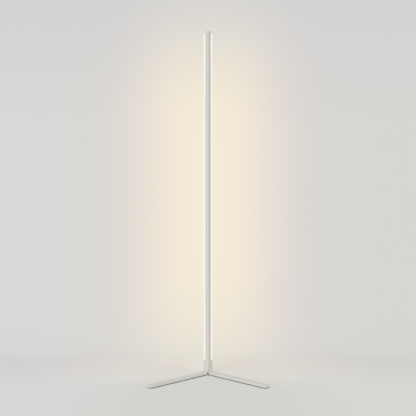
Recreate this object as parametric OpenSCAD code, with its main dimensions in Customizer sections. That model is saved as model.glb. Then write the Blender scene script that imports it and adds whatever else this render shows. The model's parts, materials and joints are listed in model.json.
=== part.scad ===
// Corner floor lamp: a slim square column that stands corner-forward on two
// mitred bar legs. The two faces beside the column's front edge are a painted
// aluminium profile. The rest of the column is a milky diffuser, clipped into
// the profile's grooves, which throws the light sideways and backwards.
//
// Frame: +Z is up, the floor is Z = 0, and the origin lies on the floor under
// the middle of the column. The legs run forward, to -Y, one to each side.
// Each piece is drawn square to its own faces and is then turned by 45 degrees,
// so "u" below runs to the right and back, and "v" to the left and back.

/* [Lamp] */
// Height of the whole lamp above the floor
lamp_h = 1420; // [900:10:1800]
// Reach of each leg beyond the post, along its inner edge
leg_reach = 308; // [260:1:360]

/* [Column] */
// Side of the square column
column_w = 25.6; // [25:0.1:32]
// Width of each painted face beside the front edge
front_w = 16.6; // [15.5:0.1:17.6]
// Radius of the column's long edges
edge_r = 1; // [0.5:0.1:1.5]
// Least radius of the corners inside the diffuser and on the cap's rib
inner_r = 0.3; // [0.2:0.1:0.5]
// Wall of the profile's two painted faces
profile_wall = 1.5; // [1.2:0.1:1.8]
// Thickness of the web that carries the light strip
web_t = 2; // [1.8:0.1:2.4]
// Wall of the diffuser
diffuser_wall = 1.6; // [1.2:0.1:2.2]

/* [Diffuser groove] */
// Outer lip of the groove, which hides the diffuser's tongue
groove_lip = 1; // [0.8:0.1:1.2]
// Width of the groove
groove_w = 1.3; // [1.1:0.1:1.5]
// Depth of the groove
groove_depth = 2.6; // [2.2:0.1:3]
// Thickness of the rib on the inner side of the groove
groove_rib = 1; // [0.8:0.1:1.2]
// Height of the snap bead on the tongue
bead_h = 0.25; // [0.1:0.05:0.4]
// Length of the thick root that carries the tongue
tongue_root = 1.8; // [1.2:0.1:2.4]

/* [Light strip] */
// Width of the circuit board
board_w = 10; // [8:0.5:12]
// Thickness of the circuit board
board_t = 1; // [0.8:0.1:1.4]
// Thickness of the adhesive tape behind it
tape_t = 0.3; // [0.2:0.05:0.5]
// Distance from the board's ends to the ends of the column
board_end_gap = 4; // [2:0.5:8]
// Height of a light-emitting chip along the board
chip_l = 3.5; // [2.8:0.1:4]
// Width of a chip across the board
chip_w = 2.8; // [2:0.1:3.5]
// Thickness of a chip
chip_t = 0.8; // [0.6:0.1:1.2]
// Distance from one chip to the next
chip_pitch = 17; // [14:0.5:25]
// Number of chips that share one resistor
chips_per_resistor = 8; // [6:1:10]
// Distance from the board's lower end to the middle of the solder joints
solder_up = 4; // [3:0.5:6]
// Distance between the two solder joints
solder_apart = 5; // [4:0.1:6]
// Diameter of a solder joint
solder_d = 2.4; // [2:0.1:3]

/* [Top cap] */
// Thickness of the cap's plate
cap_t = 4; // [3:0.5:6]
// Chamfer round the cap's upper edge
cap_chamfer = 0.6; // [0.3:0.1:1]
// Depth of the plug in the profile's hollow
plug_l = 14; // [8:1:20]
// Depth of the rib inside the diffuser's back corner
cap_rib_l = 6; // [4:0.5:8]
// Thickness of that rib
cap_rib_t = 1.2; // [1:0.1:1.6]

/* [Post] */
// Height of the post above the legs
post_h = 46; // [42:0.5:60]
// Step from the column's faces out to the faces of the post and cap
face_step = 0.4; // [0.2:0.1:0.8]
// Side wall of the post
post_wall = 2; // [1.8:0.1:2.4]
// Thickness of the post's closed top
post_top_t = 11; // [9.5:0.5:12]
// Depth of the pocket for the spigot in that top
pocket_depth = 8; // [6:0.5:8.5]
// Height of the block that closes the post's foot
block_h = 14; // [13:0.5:15]

/* [Spigot] */
// Length of the spigot inside the column
spigot_l = 70; // [60:1:120]
// Flat at each sharp edge of the spigot
spigot_flat = 1; // [0.6:0.1:1.6]

/* [Legs] */
// Thickness of a leg
leg_t = 10; // [8:0.5:12]
// Radius of a leg's long edges
leg_r = 0.8; // [0.4:0.1:1.5]
// Open seam between the two mitred legs
mitre_gap = 3.6; // [0.5:0.1:4]

/* [Feet] */
// Thickness of the rubber pads
pad_t = 2.5; // [1.5:0.1:4]
// Width of the pads, and so both sides of the square one under the post
pad_w = 24.6; // [23:0.2:25]
// Corner radius of the pads
pad_r = 2; // [1:0.5:4]
// Chamfer round the underside of the pads
pad_chamfer = 0.6; // [0.2:0.1:0.9]
// Distance from a leg's tip to the pad along it
tip_pad_in = 5; // [3:1:15]
// Gap between that pad and the one under the post
tip_pad_gap = 2; // [1:0.5:10]

/* [Leg screws] */
// Thread diameter of the four leg screws
leg_screw_d = 4; // [3.5:0.1:4.2]
// Head diameter of a leg screw
leg_head_d = 8; // [7.5:0.1:8.4]
// Height of that countersunk head
leg_head_h = 2.3; // [2:0.1:2.5]
// Length of a leg screw with its head
leg_screw_l = 17; // [15:0.5:18]
// Distance from the mitre to the middle of a leg screw
leg_screw_off = 6.8; // [6.5:0.1:7]
// Distance between the two screws of a leg
leg_screw_apart = 9; // [8.6:0.1:9.4]
// Depth of the threaded holes in the block
leg_thread_depth = 8.5; // [8:0.1:8.8]

/* [Small screws] */
// Thread diameter of the small screws
small_d = 3; // [2.5:0.1:3.2]
// Head diameter of a small countersunk screw
small_head_d = 5.5; // [5.2:0.1:6]
// Height of that head
small_head_h = 1.6; // [1.4:0.1:1.7]
// Length of a small countersunk screw with its head
small_l = 7; // [6:0.5:7.5]
// Length under the head of the screw that holds the spigot down
hold_l = 10; // [8:0.5:12]
// Head diameter of that screw
hold_head_d = 5.5; // [5:0.1:5.6]
// Head height of that screw
hold_head_h = 3; // [2:0.1:3.5]
// Height of the first cross screw above the post
cross_first = 22; // [15:1:25]
// Distance between the two cross screws
cross_apart = 30; // [20:1:34]
// Distance from the block's upper face to its screws
block_screw_down = 3.5; // [3.3:0.1:3.8]

/* [Power socket] */
// Thread diameter of the socket's metal shell
socket_d = 7.9; // [7.5:0.1:8.5]
// Diameter of the plug that the socket takes
plug_d = 5.5; // [5:0.1:5.6]
// Depth of the socket for the plug
plug_depth = 9.5; // [8:0.5:10]
// Diameter of the centre pin
pin_d = 1.9; // [1.6:0.1:2.4]
// Diameter of the pin's shank in the insulator
shank_d = 1.5; // [1:0.1:1.5]
// Distance from the pin's end back to the flange's face
pin_in = 1; // [0.5:0.1:2]
// Diameter of the flange outside the post
flange_d = 11.5; // [11:0.1:12]
// Thickness of the flange
flange_t = 2; // [1.5:0.1:2.5]
// Chamfer round the flange's outer edge
flange_chamfer = 0.3; // [0.1:0.1:0.6]
// Length of the shell behind the flange
shell_l = 12; // [11.5:0.1:13]
// Length of the insulator that stands out behind the tab's ring
insert_out = 1; // [0.6:0.1:1.6]
// Diameter of the insulator
insert_d = 6.5; // [6:0.1:6.8]
// Width across the flats of the nut
nut_af = 11; // [10:0.1:11.5]
// Thickness of the nut
nut_t = 2; // [1.5:0.1:2.5]
// Thickness of the washer
washer_t = 0.5; // [0.4:0.1:0.8]
// Length of the solder tails behind the insulator
tail_l = 3; // [2:0.1:3.5]
// Thickness of the shell's tab and ring
tab_t = 0.4; // [0.3:0.1:0.6]
// Width of the shell's tab
tab_w = 2; // [1.5:0.1:2.5]

/* [Wiring] */
// Diameter of each insulated lead
lead_d = 1.3; // [1:0.1:1.4]
// Outer diameter of the bush that takes the leads through the post's top
bush_d = 5; // [4.6:0.1:5.6]
// Bore of the bush
bush_bore = 3.2; // [3.1:0.1:3.6]
// Diameter of the bush's flange
bush_flange_d = 6.8; // [6:0.1:7.5]
// Thickness of the bush's flange
bush_flange_t = 0.8; // [0.5:0.1:1.2]

/* [Clearances] */
// Gap on each side of pieces that slide together
slide_gap = 0.1; // [0.05:0.05:0.15]
// Gap round the spigot in the column
spigot_gap = 0.15; // [0.1:0.05:0.25]
// Radial gap between a screw and its threads
thread_gap = 0.05; // [0.02:0.01:0.08]
// Radial gap between a screw and a plain hole
hole_gap = 0.2; // [0.1:0.05:0.25]

/* [Hidden] */
$fn = 48;

root2 = sqrt(2);
paint = [0.86, 0.86, 0.84];
lit = [1, 0.98, 0.9];
steel = [0.7, 0.7, 0.71];
black = [0.12, 0.12, 0.12];

// Square sections, as half widths from the column's axis
column_half = column_w / 2;
post_half = column_half + face_step;
cavity_half = post_half - post_wall;

// Levels above the floor
leg_top = pad_t + leg_t;
block_top = leg_top + block_h;
post_top = leg_top + post_h;
cavity_top = post_top - post_top_t;
cap_bottom = lamp_h - cap_t;
column_l = cap_bottom - post_top;

// Section of the profile, measured from the column's front edge
groove_block_w = groove_lip + groove_w + groove_rib;
web_back = front_w - groove_depth + groove_block_w;  // p + q on the web's back face
web_front = web_back - web_t * root2;                // p + q on its front face
bead_at = front_w - groove_depth / 2;

// The strip lies on the back of the web, so these run out from the column's front edge
web_depth = web_back / root2;
board_depth = web_depth + tape_t;
chip_depth = board_depth + board_t;
board_bottom = post_top + board_end_gap;
board_l = column_l - 2 * board_end_gap;
chip_count = floor((board_l - 2 * (solder_up + solder_d)) / chip_pitch);
first_chip = board_bottom + (board_l - (chip_count - 1) * chip_pitch) / 2;

// The spigot's triangle: two faces at spigot_near, and its long face at p + q = spigot_far
spigot_near = profile_wall + spigot_gap;
spigot_far = web_front - spigot_gap * root2;
spigot_axis = spigot_near + (spigot_far - 2 * spigot_near) * (1 - 1 / root2);
spigot_bottom = post_top - pocket_depth;

// The pad along a leg ends short of the heel pad
tip_pad_l = post_half + leg_reach - tip_pad_in - pad_w / 2 - tip_pad_gap;

// The leads rise midway between the chips and the diffuser's back corner
wire_depth = (chip_depth + chip_t + (column_w - diffuser_wall) * root2) / 2;
wire_at = wire_depth / root2 - column_half;

// The socket sits in the middle of the post's open height, on its right back face
socket_z = (block_top + cavity_top) / 2;
socket_out = post_half + flange_t;
shell_back = post_half - shell_l;
socket_floor = socket_out - plug_depth;
insert_back = shell_back - tab_t - insert_out;
tail_back = insert_back - tail_l;

// Turns a piece drawn square to its faces so that its front edge points to -Y
module turned() rotate([0, 0, 45]) children();

// Moves a section drawn from the column's front edge onto the column's axis
module from_front_edge() translate([-column_half, -column_half, 0]) children();

// Draws a section on one face and again on the other side of the column's front edge
module on_both_faces() {
    children();
    mirror([1, -1, 0]) children();
}

// A rectangle with round corners, made of exact arcs
module rounded_rect(w, h, r) {
    square([w - 2 * r, h], center = true);
    square([w, h - 2 * r], center = true);
    for (x = [-1, 1], y = [-1, 1])
        translate([x * (w / 2 - r), y * (h / 2 - r)]) circle(r);
}

// A bar's cross-section with a chamfer along both upper edges
module chamfered_section(w, h, chamfer)
    polygon([
        [-w / 2, 0],
        [w / 2, 0],
        [w / 2, h - chamfer],
        [w / 2 - chamfer, h],
        [chamfer - w / 2, h],
        [-w / 2, h - chamfer],
    ]);

// A square frame's outline, from the front edge of the column
module column_outline(inset = 0) {
    translate([column_half, column_half])
        rounded_rect(column_w - 2 * inset, column_w - 2 * inset, max(edge_r - inset, inner_r));
}

// Places a piece on the strip's centre line, at a depth from the front edge, facing backwards
module on_strip(depth, z)
    translate([-column_half + depth / root2, -column_half + depth / root2, z])
        rotate([0, 0, 45]) children();

// A screw along +Z with a countersunk head on Z = 0 and a hexagon socket in it
module countersunk_screw(d, head_d, head_h, length) {
    difference() {
        union() {
            cylinder(d1 = head_d, d2 = d, h = head_h);
            cylinder(d = d, h = length);
        }
        translate([0, 0, -1]) cylinder(d = d * 0.6, h = 1 + head_h * 0.7, $fn = 6);
    }
}

// The hole for such a screw through a wall, a little past both faces
module countersunk_hole(d, head_d, head_h, wall) {
    translate([0, 0, -1]) cylinder(d = head_d + 2 * hole_gap, h = 1 + slide_gap);
    translate([0, 0, slide_gap])
        cylinder(d1 = head_d + 2 * hole_gap, d2 = d + 2 * hole_gap, h = head_h);
    cylinder(d = d + 2 * hole_gap, h = wall + 1);
}

// ---- Column ---------------------------------------------------------------

module profile_section() {
    web_end = web_back - groove_block_w;
    chamber_end = web_front - profile_wall;
    intersection() {
        column_outline();
        difference() {
            polygon([
                [0, 0],
                [front_w, 0],
                [front_w, groove_block_w],
                [web_end, groove_block_w],
                [groove_block_w, web_end],
                [groove_block_w, front_w],
                [0, front_w],
            ]);
            polygon([
                [profile_wall, profile_wall],
                [chamber_end, profile_wall],
                [profile_wall, chamber_end],
            ]);
            on_both_faces() {
                translate([groove_lip, front_w - groove_depth])
                    square([groove_w, groove_depth + 1]);
                bead(slide_gap);
            }
        }
    }
}

// The snap bead on the inner side of the tongue, or with extra room its notch in the rib
module bead(room) {
    start = groove_lip + groove_w - slide_gap - bead_h;
    polygon([
        [start, bead_at - 2 * bead_h - room],
        [start + 2 * bead_h + room, bead_at],
        [start, bead_at + 2 * bead_h + room],
    ]);
}

module front_profile() {
    color(paint) turned() difference() {
        from_front_edge() translate([0, 0, post_top]) linear_extrude(column_l) profile_section();
        cross_screws() countersunk_hole(small_d, small_head_d, small_head_h, web_t);
    }
}

module diffuser_section() {
    seam = front_w + slide_gap;
    tongue_in = groove_lip + groove_w - slide_gap;
    difference() {
        column_outline();
        column_outline(diffuser_wall);
        square(seam);
    }
    on_both_faces() {
        translate([0, seam]) square([tongue_in, tongue_root]);
        translate([groove_lip + slide_gap, front_w - groove_depth + slide_gap])
            square([groove_w - 2 * slide_gap, groove_depth + tongue_root / 2]);
        bead(0);
    }
}

module diffuser()
    color(lit) turned() from_front_edge()
        translate([0, 0, post_top]) linear_extrude(column_l) diffuser_section();

// ---- Light strip ----------------------------------------------------------

module board_tape()
    color("dimgray") turned() on_strip(web_depth, board_bottom)
        translate([0, -board_w / 2, 0]) cube([tape_t, board_w, board_l]);

module led_board()
    color("white") turned() on_strip(board_depth, board_bottom)
        translate([0, -board_w / 2, 0]) cube([board_t, board_w, board_l]);

module led_chips()
    color("khaki") turned() for (i = [0 : chip_count - 1])
        on_strip(chip_depth, first_chip + i * chip_pitch)
            translate([0, -chip_w / 2, -chip_l / 2]) cube([chip_t, chip_w, chip_l]);

// One resistor midway between two chips, for each group of chips
module led_resistors() {
    resistor = [0.6, 3.2, 1.6];
    color(black) turned() for (i = [0 : chips_per_resistor : chip_count - 2])
        on_strip(chip_depth, first_chip + (i + 0.5) * chip_pitch)
            translate([0, -resistor[1] / 2, -resistor[2] / 2]) cube(resistor);
}

module solder_joints()
    color(steel) turned() for (side = [-1, 1])
        on_strip(chip_depth, board_bottom + solder_up)
            translate([0, side * solder_apart / 2, 0]) rotate([0, 90, 0])
                cylinder(d1 = solder_d, d2 = lead_d, h = chip_t);

// ---- Cap ------------------------------------------------------------------

module spigot_section(grow = 0) {
    near = spigot_near - grow;
    far = spigot_far + grow * root2;
    tip = far - near - spigot_flat;
    polygon([
        [near, near],
        [tip, near],
        [tip, near + spigot_flat],
        [near + spigot_flat, tip],
        [near, tip],
    ]);
}

module top_cap() {
    plate_w = 2 * post_half;
    color(paint) turned() {
        translate([0, 0, cap_bottom]) intersection() {
            linear_extrude(cap_t) rounded_rect(plate_w, plate_w, edge_r);
            rotate([90, 0, 0]) linear_extrude(2 * plate_w, center = true)
                chamfered_section(plate_w, cap_t, cap_chamfer);
            rotate([90, 0, 90]) linear_extrude(2 * plate_w, center = true)
                chamfered_section(plate_w, cap_t, cap_chamfer);
        }
        from_front_edge() {
            translate([0, 0, cap_bottom - plug_l]) linear_extrude(plug_l) spigot_section();
            translate([0, 0, cap_bottom - cap_rib_l]) linear_extrude(cap_rib_l)
                intersection() {
                    difference() {
                        column_outline(diffuser_wall + slide_gap);
                        column_outline(diffuser_wall + slide_gap + cap_rib_t);
                    }
                    translate([column_half, column_half]) square(column_half);
                }
        }
    }
}

// ---- Post and spigot ------------------------------------------------------

// The two screws through the web into the spigot, pointing forward from the web's back face
module cross_screws()
    for (i = [0, 1])
        on_strip(web_depth, post_top + cross_first + i * cross_apart)
            rotate([0, -90, 0]) children();

// The axis of the screw that pulls the spigot down
module on_spigot_axis(z) {
    at = spigot_axis - column_half;
    translate([at, at, z]) children();
}

module post() {
    color(paint) turned() difference() {
        translate([0, 0, leg_top]) linear_extrude(post_h)
            rounded_rect(2 * post_half, 2 * post_half, edge_r);
        translate([-cavity_half, -cavity_half, leg_top - 1])
            cube([2 * cavity_half, 2 * cavity_half, cavity_top - leg_top + 1]);
        from_front_edge() translate([0, 0, spigot_bottom])
            linear_extrude(pocket_depth + 1) spigot_section(slide_gap);
        on_spigot_axis(cavity_top - 1) cylinder(d = small_d + 2 * hole_gap, h = post_top_t);
        translate([wire_at, wire_at, cavity_top - 1])
            cylinder(d = bush_d + 2 * slide_gap, h = post_top_t + 2);
        on_socket_axis(cavity_half - 1) cylinder(d = socket_d + 2 * slide_gap, h = post_wall + 2);
        block_screw_axes() countersunk_hole(small_d, small_head_d, small_head_h, post_wall);
    }
}

module spigot() {
    color(steel) turned() difference() {
        from_front_edge() translate([0, 0, spigot_bottom])
            linear_extrude(pocket_depth + spigot_l) spigot_section();
        on_spigot_axis(spigot_bottom - 1) cylinder(d = small_d, h = hold_l + 1);
        cross_screws() cylinder(d = small_d, h = small_l + slide_gap);
    }
}

module spigot_screw() {
    color(steel) turned() on_spigot_axis(cavity_top) difference() {
        union() {
            translate([0, 0, -hold_head_h]) cylinder(d = hold_head_d, h = hold_head_h);
            cylinder(d = small_d - 2 * thread_gap, h = hold_l);
        }
        translate([0, 0, -hold_head_h - 1])
            cylinder(d = small_d, h = 1 + hold_head_h * 0.6, $fn = 6);
    }
}

module profile_screws()
    color(steel) turned() cross_screws() translate([0, 0, slide_gap])
        countersunk_screw(small_d - 2 * thread_gap, small_head_d, small_head_h, small_l - slide_gap);

// The screws through the post's two back faces into the block, pointing inwards
module block_screw_axes()
    on_both_faces() translate([post_half, 0, block_top - block_screw_down])
        rotate([0, -90, 0]) children();

module block_screws()
    color(steel) turned() block_screw_axes() translate([0, 0, slide_gap])
        countersunk_screw(small_d - 2 * thread_gap, small_head_d, small_head_h, small_l - slide_gap);

module base_block() {
    side = 2 * (cavity_half - slide_gap);
    color(steel) turned() difference() {
        translate([-side / 2, -side / 2, leg_top]) cube([side, side, block_h]);
        leg_screw_axes(leg_top - 1) cylinder(d = leg_screw_d, h = leg_thread_depth + 1);
        block_screw_axes() cylinder(d = small_d, h = small_l + slide_gap);
    }
}

// ---- Legs and feet --------------------------------------------------------

// The two screws of the left leg, beside the mitre, and the same for the right leg
module left_leg_screw_axes(z)
    for (side = [-1, 1])
        rotate([0, 0, 45]) translate([side * leg_screw_apart / 2, leg_screw_off, z]) children();

module leg_screw_axes(z) on_both_faces() left_leg_screw_axes(z) children();

// A leg in its square frame: it runs to -u from the post and ends on the mitre
module leg() {
    tip = post_half + leg_reach;
    past = 2 * post_half;
    set_back = mitre_gap / root2;
    middle = pad_t + leg_t / 2;
    difference() {
        intersection() {
            translate([-tip, 0, middle]) rotate([90, 0, 90]) linear_extrude(tip + past)
                rounded_rect(2 * post_half, leg_t, leg_r);
            translate([(past - tip) / 2, 0, middle]) rotate([90, 0, 0])
                linear_extrude(past + 2, center = true) rounded_rect(tip + past, leg_t, leg_r);
            translate([0, 0, pad_t - 1]) linear_extrude(leg_t + 2) intersection() {
                translate([(past - tip) / 2, 0]) rounded_rect(tip + past, 2 * post_half, leg_r);
                polygon([
                    [-tip - 1, -post_half - 1],
                    [-post_half - 1 - set_back, -post_half - 1],
                    [post_half + 1 - set_back, post_half + 1],
                    [-tip - 1, post_half + 1],
                ]);
            }
        }
        left_leg_screw_axes(pad_t)
            countersunk_hole(leg_screw_d, leg_head_d, leg_head_h, leg_t);
    }
}

module left_leg() color(paint) turned() leg();

module right_leg() color(paint) turned() mirror([1, -1, 0]) leg();

module leg_screws()
    color(steel) turned() leg_screw_axes(pad_t + slide_gap)
        countersunk_screw(leg_screw_d - 2 * thread_gap, leg_head_d, leg_head_h, leg_screw_l - slide_gap);

// A rubber pad with its chamfered side down. The chamfered section is carried along the pad and
// across it, and what lies in both and in the rounded outline is the pad.
module pad(l)
    intersection() {
        linear_extrude(pad_t) rounded_rect(l, pad_w, pad_r);
        translate([0, 0, pad_t]) rotate([-90, 0, 0]) linear_extrude(pad_w, center = true)
            chamfered_section(l, pad_t, pad_chamfer);
        translate([0, 0, pad_t]) rotate([-90, 0, 90]) linear_extrude(l, center = true)
            chamfered_section(pad_w, pad_t, pad_chamfer);
    }

module heel_pad() color(black) turned() pad(pad_w);

// The pad under a leg, from its tip nearly to the heel pad
module tip_pad()
    translate([tip_pad_in + tip_pad_l / 2 - post_half - leg_reach, 0, 0]) pad(tip_pad_l);

module left_tip_pad() color(black) turned() tip_pad();

module right_tip_pad() color(black) turned() mirror([1, -1, 0]) tip_pad();

// ---- Power socket ---------------------------------------------------------

// Places a piece on the socket's axis, which points out through the right back face
module on_socket_axis(u) translate([u, 0, socket_z]) rotate([0, 90, 0]) children();

module socket_shell() {
    color(steel) turned() difference() {
        union() {
            on_socket_axis(shell_back) cylinder(d = socket_d, h = shell_l);
            on_socket_axis(post_half) cylinder(d = flange_d, h = flange_t - flange_chamfer);
            on_socket_axis(socket_out - flange_chamfer)
                cylinder(d1 = flange_d, d2 = flange_d - 2 * flange_chamfer, h = flange_chamfer);
        }
        on_socket_axis(socket_floor) cylinder(d = plug_d + 2 * slide_gap, h = plug_depth + 1);
        on_socket_axis(shell_back - 1) cylinder(d = insert_d, h = socket_floor - shell_back + 1);
    }
}

module socket_insert() {
    color(black) turned() difference() {
        on_socket_axis(insert_back)
            cylinder(d = insert_d - 2 * thread_gap, h = socket_floor - insert_back);
        on_socket_axis(insert_back - 1)
            cylinder(d = shank_d + 2 * thread_gap, h = socket_floor - insert_back + 2);
    }
}

module socket_pin() {
    color("goldenrod") turned() {
        on_socket_axis(tail_back) cylinder(d = shank_d, h = socket_floor - tail_back);
        on_socket_axis(socket_floor) cylinder(d = pin_d, h = plug_depth - pin_in);
    }
}

// A ring behind the shell, with the tab that the negative lead is soldered to
module socket_tab() {
    tab_v = (socket_d + insert_d) / 4 - tab_t / 2;
    color("goldenrod") turned() {
        difference() {
            on_socket_axis(shell_back - tab_t) cylinder(d = socket_d, h = tab_t);
            on_socket_axis(shell_back - tab_t - 1) cylinder(d = insert_d, h = tab_t + 2);
        }
        translate([tail_back, tab_v, socket_z - tab_w / 2])
            cube([shell_back - tab_t / 2 - tail_back, tab_t, tab_w]);
    }
}

module socket_washer() {
    color(steel) turned() difference() {
        on_socket_axis(cavity_half - washer_t) cylinder(d = flange_d, h = washer_t);
        on_socket_axis(cavity_half - washer_t - 1)
            cylinder(d = socket_d + 2 * slide_gap, h = washer_t + 2);
    }
}

module socket_nut() {
    back = cavity_half - washer_t - nut_t;
    color(steel) turned() difference() {
        on_socket_axis(back) rotate([0, 0, 30]) cylinder(d = nut_af / cos(30), h = nut_t, $fn = 6);
        on_socket_axis(back - 1) cylinder(d = socket_d + 2 * thread_gap, h = nut_t + 2);
    }
}

// ---- Wiring ---------------------------------------------------------------

module wire_bush() {
    color(black) turned() translate([wire_at, wire_at, 0]) difference() {
        union() {
            translate([0, 0, cavity_top]) cylinder(d = bush_d, h = post_top_t);
            translate([0, 0, post_top]) cylinder(d = bush_flange_d, h = bush_flange_t);
        }
        translate([0, 0, cavity_top - 1]) cylinder(d = bush_bore, h = post_top_t + bush_flange_t + 2);
    }
}

// A smooth curve through a lead's route: a Catmull-Rom spline, four steps to a stretch
function spline(a, b, c, d, t) = 0.5 * (
    2 * b + (c - a) * t + (2 * a - 5 * b + 4 * c - d) * t * t + (3 * b - a - 3 * c + d) * t * t * t);
function smooth(route, steps = 4) = let (n = len(route)) [
    for (i = [0 : n - 2], k = [0 : steps - 1])
        spline(route[max(i - 1, 0)], route[i], route[i + 1], route[min(i + 2, n - 1)], k / steps),
    route[n - 1],
];
function unit(v) = v / norm(v);
function way(path, i) = unit(path[min(i + 1, len(path) - 1)] - path[max(i - 1, 0)]);

// A round tube along a path that never runs along the reference direction
module tube(path, d, across, sides = 8) {
    n = len(path);
    points = [for (i = [0 : n - 1])
        let (x = unit(cross(way(path, i), across)), y = cross(way(path, i), x))
        for (k = [0 : sides - 1])
            path[i] + d / 2 * (cos(360 * k / sides) * x + sin(360 * k / sides) * y)];
    walls = [for (i = [0 : n - 2], k = [0 : sides - 1])
        let (a = i * sides + k, b = i * sides + (k + 1) % sides)
        each [[a, b, b + sides], [a, b + sides, a + sides]]];
    ends = [for (k = [1 : sides - 2])
        each [[0, k + 1, k], [(n - 1) * sides, (n - 1) * sides + k, (n - 1) * sides + k + 1]]];
    polyhedron(points, [for (f = concat(walls, ends)) [f[2], f[1], f[0]]]);
}

// A lead's route from its solder tail, through the bush, up to its solder joint
function lead_route(start, side) =
    let (
        apart = side * (lead_d / 2 + 0.1) / root2,
        joint = (chip_depth + chip_t) / root2 - column_half,
        spread = side * solder_apart / 2 / root2,
        z_joint = board_bottom + solder_up,
        lane = [wire_at - apart, wire_at + apart]
    ) [
        start,
        start - [1.5, 0, 0],
        [start[0] - 1.5, start[1] + 2, start[2] + 2.5],
        [lane[0] - 2, lane[1] + 0.5, cavity_top - 2.5],
        [lane[0], lane[1], cavity_top + 1],
        [lane[0], lane[1], post_top - 2],
        [lane[0], lane[1], post_top + bush_flange_t + 0.5],
        [(lane[0] + joint - spread) / 2 + 0.6, (lane[1] + joint + spread) / 2 + 0.6, z_joint + 0.6],
        [joint - spread, joint + spread, z_joint],
    ];

module positive_lead()
    color("firebrick") turned()
        tube(smooth(lead_route([tail_back, 0, socket_z], -1)), lead_d, [1, -1, 0]);

module negative_lead() {
    tab_v = (socket_d + insert_d) / 4;
    color(black) turned()
        tube(smooth(lead_route([tail_back, tab_v, socket_z], 1)), lead_d, [1, -1, 0]);
}

front_profile();
diffuser();
led_board();
led_chips();
led_resistors();
board_tape();
solder_joints();
top_cap();
post();
spigot();
spigot_screw();
profile_screws();
base_block();
block_screws();
left_leg();
right_leg();
leg_screws();
heel_pad();
left_tip_pad();
right_tip_pad();
socket_shell();
socket_insert();
socket_pin();
socket_tab();
socket_washer();
socket_nut();
wire_bush();
positive_lead();
negative_lead();
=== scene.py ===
# %% [markdown]
# # A corner floor lamp
#
# This notebook dresses a slim floor lamp. A square column stands corner-forward on two flat
# legs that meet in a mitre. Two faces of the column are a painted aluminium profile, and the
# rest of it is a milky cover with a strip of light inside.
#
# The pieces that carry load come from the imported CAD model. Where a piece shows, this notebook
# makes a finer surface for it with small edge radii, because a real edge is never perfectly
# sharp, and the thin line of light along it tells the eye what it is made of.

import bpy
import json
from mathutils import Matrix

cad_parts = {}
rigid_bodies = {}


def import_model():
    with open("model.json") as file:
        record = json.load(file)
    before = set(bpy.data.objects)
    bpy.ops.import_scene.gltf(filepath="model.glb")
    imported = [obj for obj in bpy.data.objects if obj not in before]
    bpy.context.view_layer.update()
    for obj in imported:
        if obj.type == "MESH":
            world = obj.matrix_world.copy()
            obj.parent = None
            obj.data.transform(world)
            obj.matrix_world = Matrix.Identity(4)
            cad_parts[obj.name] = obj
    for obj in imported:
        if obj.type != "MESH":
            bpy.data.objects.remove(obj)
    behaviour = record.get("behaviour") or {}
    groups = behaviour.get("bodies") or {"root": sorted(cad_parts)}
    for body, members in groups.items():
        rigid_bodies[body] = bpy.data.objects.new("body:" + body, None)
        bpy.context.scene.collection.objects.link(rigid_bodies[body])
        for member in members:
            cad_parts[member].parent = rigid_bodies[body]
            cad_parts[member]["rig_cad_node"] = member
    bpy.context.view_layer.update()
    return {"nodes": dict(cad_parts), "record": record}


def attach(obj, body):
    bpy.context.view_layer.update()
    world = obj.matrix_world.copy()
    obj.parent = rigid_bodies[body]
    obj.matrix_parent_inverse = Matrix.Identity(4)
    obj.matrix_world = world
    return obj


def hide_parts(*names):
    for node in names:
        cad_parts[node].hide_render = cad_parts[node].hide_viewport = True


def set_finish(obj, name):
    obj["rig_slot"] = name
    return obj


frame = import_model()
print("the CAD nodes:", ", ".join(sorted(frame["nodes"])))

# %% Tools that every cell uses
import json
import math

import bpy
import numpy as np
from mathutils import Vector
from mathutils.geometry import tessellate_polygon

MM = 0.001
ROOT2 = math.sqrt(2)

# %% [markdown]
# ## The sizes
#
# Everything is worked out in millimetres in the column's own square frame. There u runs to the
# right and back, v to the left and back, and z up, so the column's faces are plain planes.
# Only the last step turns a piece by 45 degrees, which points the front edge at the viewer.

# %% Sizes in millimetres, the same as in the CAD source
LAMP_H = 1420.0
LEG_REACH = 308.0
COLUMN_HALF, POST_HALF = 12.8, 13.2
FRONT_W = 16.6
PAD_T, LEG_T, BLOCK_H = 2.5, 10.0, 14.0
POST_H, POST_WALL, POST_TOP_T = 46.0, 2.0, 11.0
CAP_T = 4.0
TAPE_T, BOARD_T, CHIP_T = 0.3, 1.0, 0.8
SLIDE_GAP, SPIGOT_GAP, HOLE_GAP, THREAD_GAP = 0.1, 0.15, 0.2, 0.05

COLUMN_W = 2 * COLUMN_HALF
LEG_TOP = PAD_T + LEG_T
BLOCK_TOP = LEG_TOP + BLOCK_H
POST_TOP = LEG_TOP + POST_H
CAVITY_TOP = POST_TOP - POST_TOP_T
CAP_BOTTOM = LAMP_H - CAP_T
SOCKET_Z = (BLOCK_TOP + CAVITY_TOP) / 2
print(f"column {COLUMN_W} mm square, from z = {POST_TOP} to {CAP_BOTTOM} mm")

# %% [markdown]
# ## From arrays to a mesh
#
# A surface here is a stack of closed rings of points, held in one array of shape
# (rings, points, 3). Neighbouring rings are joined by four-cornered faces. If the points run
# anticlockwise as seen from the end of the stack, every face looks outwards. A flat face
# closes each end, or the last ring is joined to the first, which gives a ring-shaped solid.


# %% Rings to faces
def ring_faces(rings, points, first=0, wrap=False):
    """Faces between rings: face (i, j) joins (i, j), (i, j + 1), (i + 1, j + 1), (i + 1, j)."""
    i = np.arange(rings if wrap else rings - 1)[:, None]
    j = np.arange(points)[None, :]
    up, on = (i + 1) % rings, (j + 1) % points
    corners = np.stack([i * points + j, i * points + on, up * points + on, up * points + j], -1)
    return corners.reshape(-1, 4) + first


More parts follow.
